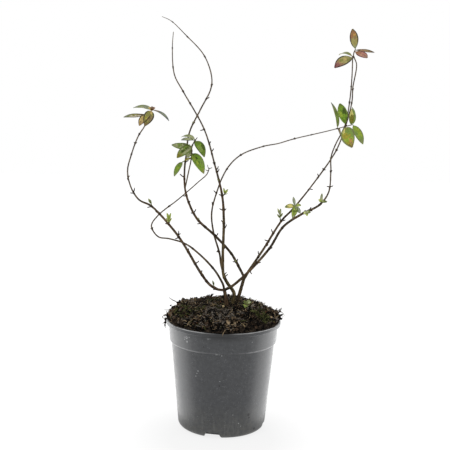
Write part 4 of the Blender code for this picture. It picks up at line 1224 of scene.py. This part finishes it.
# The new shoots. Tufts of tiny leaves in opposite pairs, green with pale edges, which break
# from the old wood and, once, straight from the peat. Each has its own short green stem.
Shoot = namedtuple("Shoot", "limb at stem leaves")
SHOOT_COLOURS = {
    "sprig": (118, 130, 72), "pale": (200, 202, 136), "bright": (160, 178, 84),
    "vivid": (134, 160, 50), "dull": (94, 102, 62), "mist": (172, 178, 134),
    "blue": (152, 164, 138), "bract": (164, 168, 140), "butter": (212, 202, 124),
}
SPRIG = ("sprig", "bright", "mist")
SHOOTS = {
    "leaf_tall": Shoot("tall", 210, (-4, -1, -1), (
        Leaf(4, (-12, -2, -21), 10, (-0.6, -1, 0.5), 2, 0.5,
             ("moss", "leafy", "fresh", "fresh", "leafy", "sage"), "sage",
             (("lime", 0.5, 0, 0.1),)),
    )),
    "shoot_left_low": Shoot("left", 17, (0, -1, 6), (
        Leaf(4, (-2, -1, 7), 3.6, (1, -1, 1), 0, 0.6, ("dull", "moss"), "dull"),
        Leaf(4, (1, -1, 4), 3, (-1, -1, 1), 0, 0.6, ("dull", "sprig"), "dull"),
    )),
    "shoot_left_middle": Shoot("left", 140, (0, -1, 7), (
        Leaf(6, (-3, -2, 11), 5, (1, -1, 0.5), 0, 0.6, ("bright", "bright", "bright"), "pale"),
        Leaf(6, (3, -1, 11), 5, (-1, -1, 0.5), 0, 0.6, ("bright", "bright", "bright"), "pale"),
        Leaf(4, (-4, 0, 5), 4.5, (1, -1, 1), 0, 0.6, ("bright", "pale"), "pale"),
        Leaf(4, (4, 0, 5), 4.5, (-1, -1, 1), 0, 0.6, ("bright", "pale"), "pale"),
    )),
    "shoot_left_high": Shoot("left", 176, (-2, -1, 6), (
        Leaf(5, (-4, -1, 7), 5, (1, -1, 1), 0, 0.6, ("sprig", "sprig", "mist"), "mist"),
        Leaf(5, (0, -1, 5), 4.5, (-1, -1, 1), 0, 0.6, ("sprig", "mist"), "sprig"),
    )),
    "shoot_centre": Shoot("centre", 177, (4, -1, 6), (
        Leaf(6, (-2, -2, 9), 4.5, (1, -1, 0.5), 0, 0.6, SPRIG, "pale"),
        Leaf(6, (5, -1, 7), 4.5, (-1, -1, 0.5), 0, 0.6, SPRIG, "pale"),
        Leaf(4, (6, 1, 2), 3.5, UP, 0, 0.6, ("sprig", "mist"), "sprig"),
    )),
    "shoot_outer_low": Shoot("outer", 104, (-1, -1, 11), (
        Leaf(11, (-4, -1, 10), 4.4, (1, -1, 0.5), 0, 0.6, ("mist", "mist", "pale"), "mist"),
        Leaf(11, (1, -2, 10), 4.4, (-1, -1, 0.5), 0, 0.6, ("mist", "mist", "sprig"), "sprig"),
        Leaf(7, (-5, -1, 5), 4.2, (1, -1, 1), 0, 0.6, ("sprig", "mist"), "mist"),
        Leaf(8, (4, -1, 6), 4.2, (-1, -1, 1), 0, 0.6, ("sprig", "mist"), "mist"),
    )),
    "shoot_outer_high": Shoot("outer", 136, (0, -5, 3), (
        Leaf(5, (-3, -1, 13), 4.4, FRONT, 0, 0.8, ("dull", "blue", "bract", "bract"), "blue"),
        Leaf(5, (-15, -4, -2), 7, RAISED, 1, 0.6, ("sprig", "butter", "butter", "sprig"),
             "olive"),
        Leaf(5, (9, -2, 1), 4.5, RAISED, 1, 0.6, ("sprig", "bright", "sprig"), "pale"),
        Leaf(5, (8, -4, -10), 6, FRONT, 1, 0.8, ("blue", "blue"), "dull"),
        Leaf(5, (-3, -6, -19), 7.2, FRONT, 1.5, 0.5,
             ("bright", "vivid", "vivid", "bright", "mist"), "sprig"),
        Leaf(4, (1, -7, -12), 7, FRONT, 1, 0.5, ("vivid", "bright", "moss", "bright"), "moss"),
    )),
    "shoot_front_low": Shoot("front", 173, (0, -4, 1), (
        Leaf(4, (-4, -3, -3), 4.5, RAISED, 0.5, 0.6, ("mist", "pale"), "sprig"),
        Leaf(4, (1, -3, -6), 4.5, RAISED, 0.5, 0.6, ("mist", "bright"), "pale"),
        Leaf(4, (6, -2, -1), 5, RAISED, 0.5, 0.6, ("mist", "sprig"), "sprig"),
    )),
    "shoot_front_high": Shoot("front", 197, (0, -2, 4), (
        Leaf(4, (1, -1, 12), 4, FRONT, 0, 0.6, ("bright", "mist", "bract", "dull"), "mist"),
        Leaf(4, (-4, -2, 3), 4.5, RAISED, 0.5, 0.6, ("bright", "pale"), "mist"),
        Leaf(4, (9, -1, 0), 4, RAISED, 0.5, 0.6, ("sprig", "sprig", "dull"), "dull"),
        Leaf(3, (3, -2, 4), 4.5, FRONT, 0, 0.6, ("bright", "mist"), "pale"),
    )),
}
SHOOT_RADIUS = 0.8
PEAT_TOP = 20
SPROUT_FOOT = Vector((33, -4, POT_HEIGHT / MM))
SPROUT_STEM = Vector((0, 0, PEAT_TOP + 6))
SPROUT = (
    Leaf(4, (-5, -16, -3), 7, RAISED, 1, 0.6, ("sprig", "bright", "sprig", "vivid", "dull"),
         "moss"),
    Leaf(4, (1, -15, -4), 7, RAISED, 1, 0.6, ("sprig", "moss", "sprig", "vivid", "moss"), "dull"),
    Leaf(5, (8, -3, 4), 4.6, RAISED, 1, 0.6, ("sprig", "mist"), "sprig"),
    Leaf(5, (5, -1, 7), 4.6, FRONT, 0, 0.6, ("sprig", "mist", "mist"), "sprig"),
    Leaf(5, (-3, 0, 5), 4, FRONT, 0, 0.6, ("dull", "sprig", "sprig"), "moss"),
)
for tint, colour in SHOOT_COLOURS.items():
    leaf_materials[tint] = leaf_finish(tint, colour)


def grow_shoot(name, foot, stem, leaves):
    """A shoot's stem and leaves as one piece, from its foot in mm."""
    track = Track((foot, foot + stem / 2, foot + stem), ((0, SHOOT_RADIUS), (30, SHOOT_RADIUS)))
    palette = sorted({"sprig", *palette_of(leaves)})
    feet = [(track.point(min(leaf.at * MM, track.length)), leaf) for leaf in leaves]
    bm = foliage(feet, palette)
    rings = 5
    centres = [track.point(track.length * ring / rings) for ring in range(rings + 1)]
    tube(bm, centres, [SHOOT_RADIUS * MM] * rings + [0.4 * MM], 6, palette.index("sprig"))
    growth = place_mesh(f"growth_{name}", bm, *[leaf_materials[tint] for tint in palette])
    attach(growth, "root")
    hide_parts(name)
    "leaf" if name == "leaf_tall" else "young_shoot"


for name, shoot in SHOOTS.items():
    foot = tracks[shoot.limb].point(shoot.at * MM) / MM
    grow_shoot(name, foot, Vector(shoot.stem), shoot.leaves)
grow_shoot("shoot_soil", SPROUT_FOOT, SPROUT_STEM,
           [leaf._replace(at=leaf.at + PEAT_TOP) for leaf in SPROUT])


# The studio. A plain white floor in a white room, two large soft lights, and the camera where
# the photograph was taken: a little above the plant's middle, looking slightly down. Two more
# lights lie on the floor beside the pot, out of the camera's sight, as its bright bench did.
FLOOR_SIZE = 8
CAMERA_PLACE = (-0.0008, -1.3, 0.4955)
CAMERA_DOWN = math.radians(8.319)
CAMERA_ROLL = math.radians(1.247)
CAMERA_LENS = 71.26             # mm on a 36 mm sensor
FLOOR_LIGHT = 0.95              # what the floor gives off
FLOOR_PAINTED_SHADOW = 0.86              # the share of that in the painted shadow close to the pot
BENCH_LIGHTS = ((-0.54, 0.38), (0.54, 0.38))
BENCH_SIZE = 0.9
BENCH_POWER = 4.0


def studio_floor():
    """A plain, pale floor that glows, with a painted shadow close to the pot, where it glows a little
    less.
    """
    bm = bmesh.new()
    bmesh.ops.create_grid(bm, x_segments=1, y_segments=1, size=FLOOR_SIZE / 2)
    finish = Finish("studio floor", Base_Color=(0.1, 0.1, 0.1, 1), Roughness=0.9,
                    Specular_IOR_Level=0.1, Emission_Strength=FLOOR_LIGHT)
    # Painted shadow: the floor's glow dims close to the pot.
    shadow_near_pot = finish.near((0, -0.06, 0), 0.18).above(0, 0.6)
    shade = (FLOOR_PAINTED_SHADOW, FLOOR_PAINTED_SHADOW, FLOOR_PAINTED_SHADOW, 1)
    finish.feed("Emission Color", finish.mix(shadow_near_pot, (1, 1, 1, 1), shade))
    floor = place_mesh("studio_floor", bm, finish.material)


def soft_light(name, place, size, power, aim=(0, 0, 0.25)):
    """A large square lamp that shines at a point and isn't seen itself."""
    light = bpy.data.lights.new(name, "AREA")
    light.size = size
    light.energy = power
    lamp = bpy.data.objects.new(name, light)
    lamp.location = place
    way = Vector(aim) - Vector(place)
    lamp.rotation_euler = way.to_track_quat("-Z", "Y").to_euler()
    lamp.visible_camera = False
    bpy.context.scene.collection.objects.link(lamp)


def white_room(strength):
    """Even white light from all round."""
    world = bpy.data.worlds.new("white room")
    world.use_nodes = True
    background = world.node_tree.nodes["Background"]
    background.inputs["Color"].default_value = (1, 1, 1, 1)
    background.inputs["Strength"].default_value = strength
    bpy.context.scene.world = world


studio_floor()
white_room(1.0)
soft_light("key light", (-1.6, -1.8, 2.2), 1.6, 22)
soft_light("fill light", (1.9, -1.2, 1.4), 1.6, 10)
for x, y in BENCH_LIGHTS:
    soft_light("bench light", (x, y, MM), BENCH_SIZE, BENCH_POWER, (x, y, 1))
camera_data = bpy.data.cameras.new("camera")
camera_data.sensor_width = 36
camera_data.lens = CAMERA_LENS
camera = bpy.data.objects.new("camera", camera_data)
camera.matrix_world = (Matrix.Translation(CAMERA_PLACE)
                       @ Matrix.Rotation(math.pi / 2 - CAMERA_DOWN, 4, "X")
                       @ Matrix.Rotation(CAMERA_ROLL, 4, "Z"))
bpy.context.scene.collection.objects.link(camera)
bpy.context.scene.camera = camera
bpy.context.scene.view_settings.view_transform = "Standard"
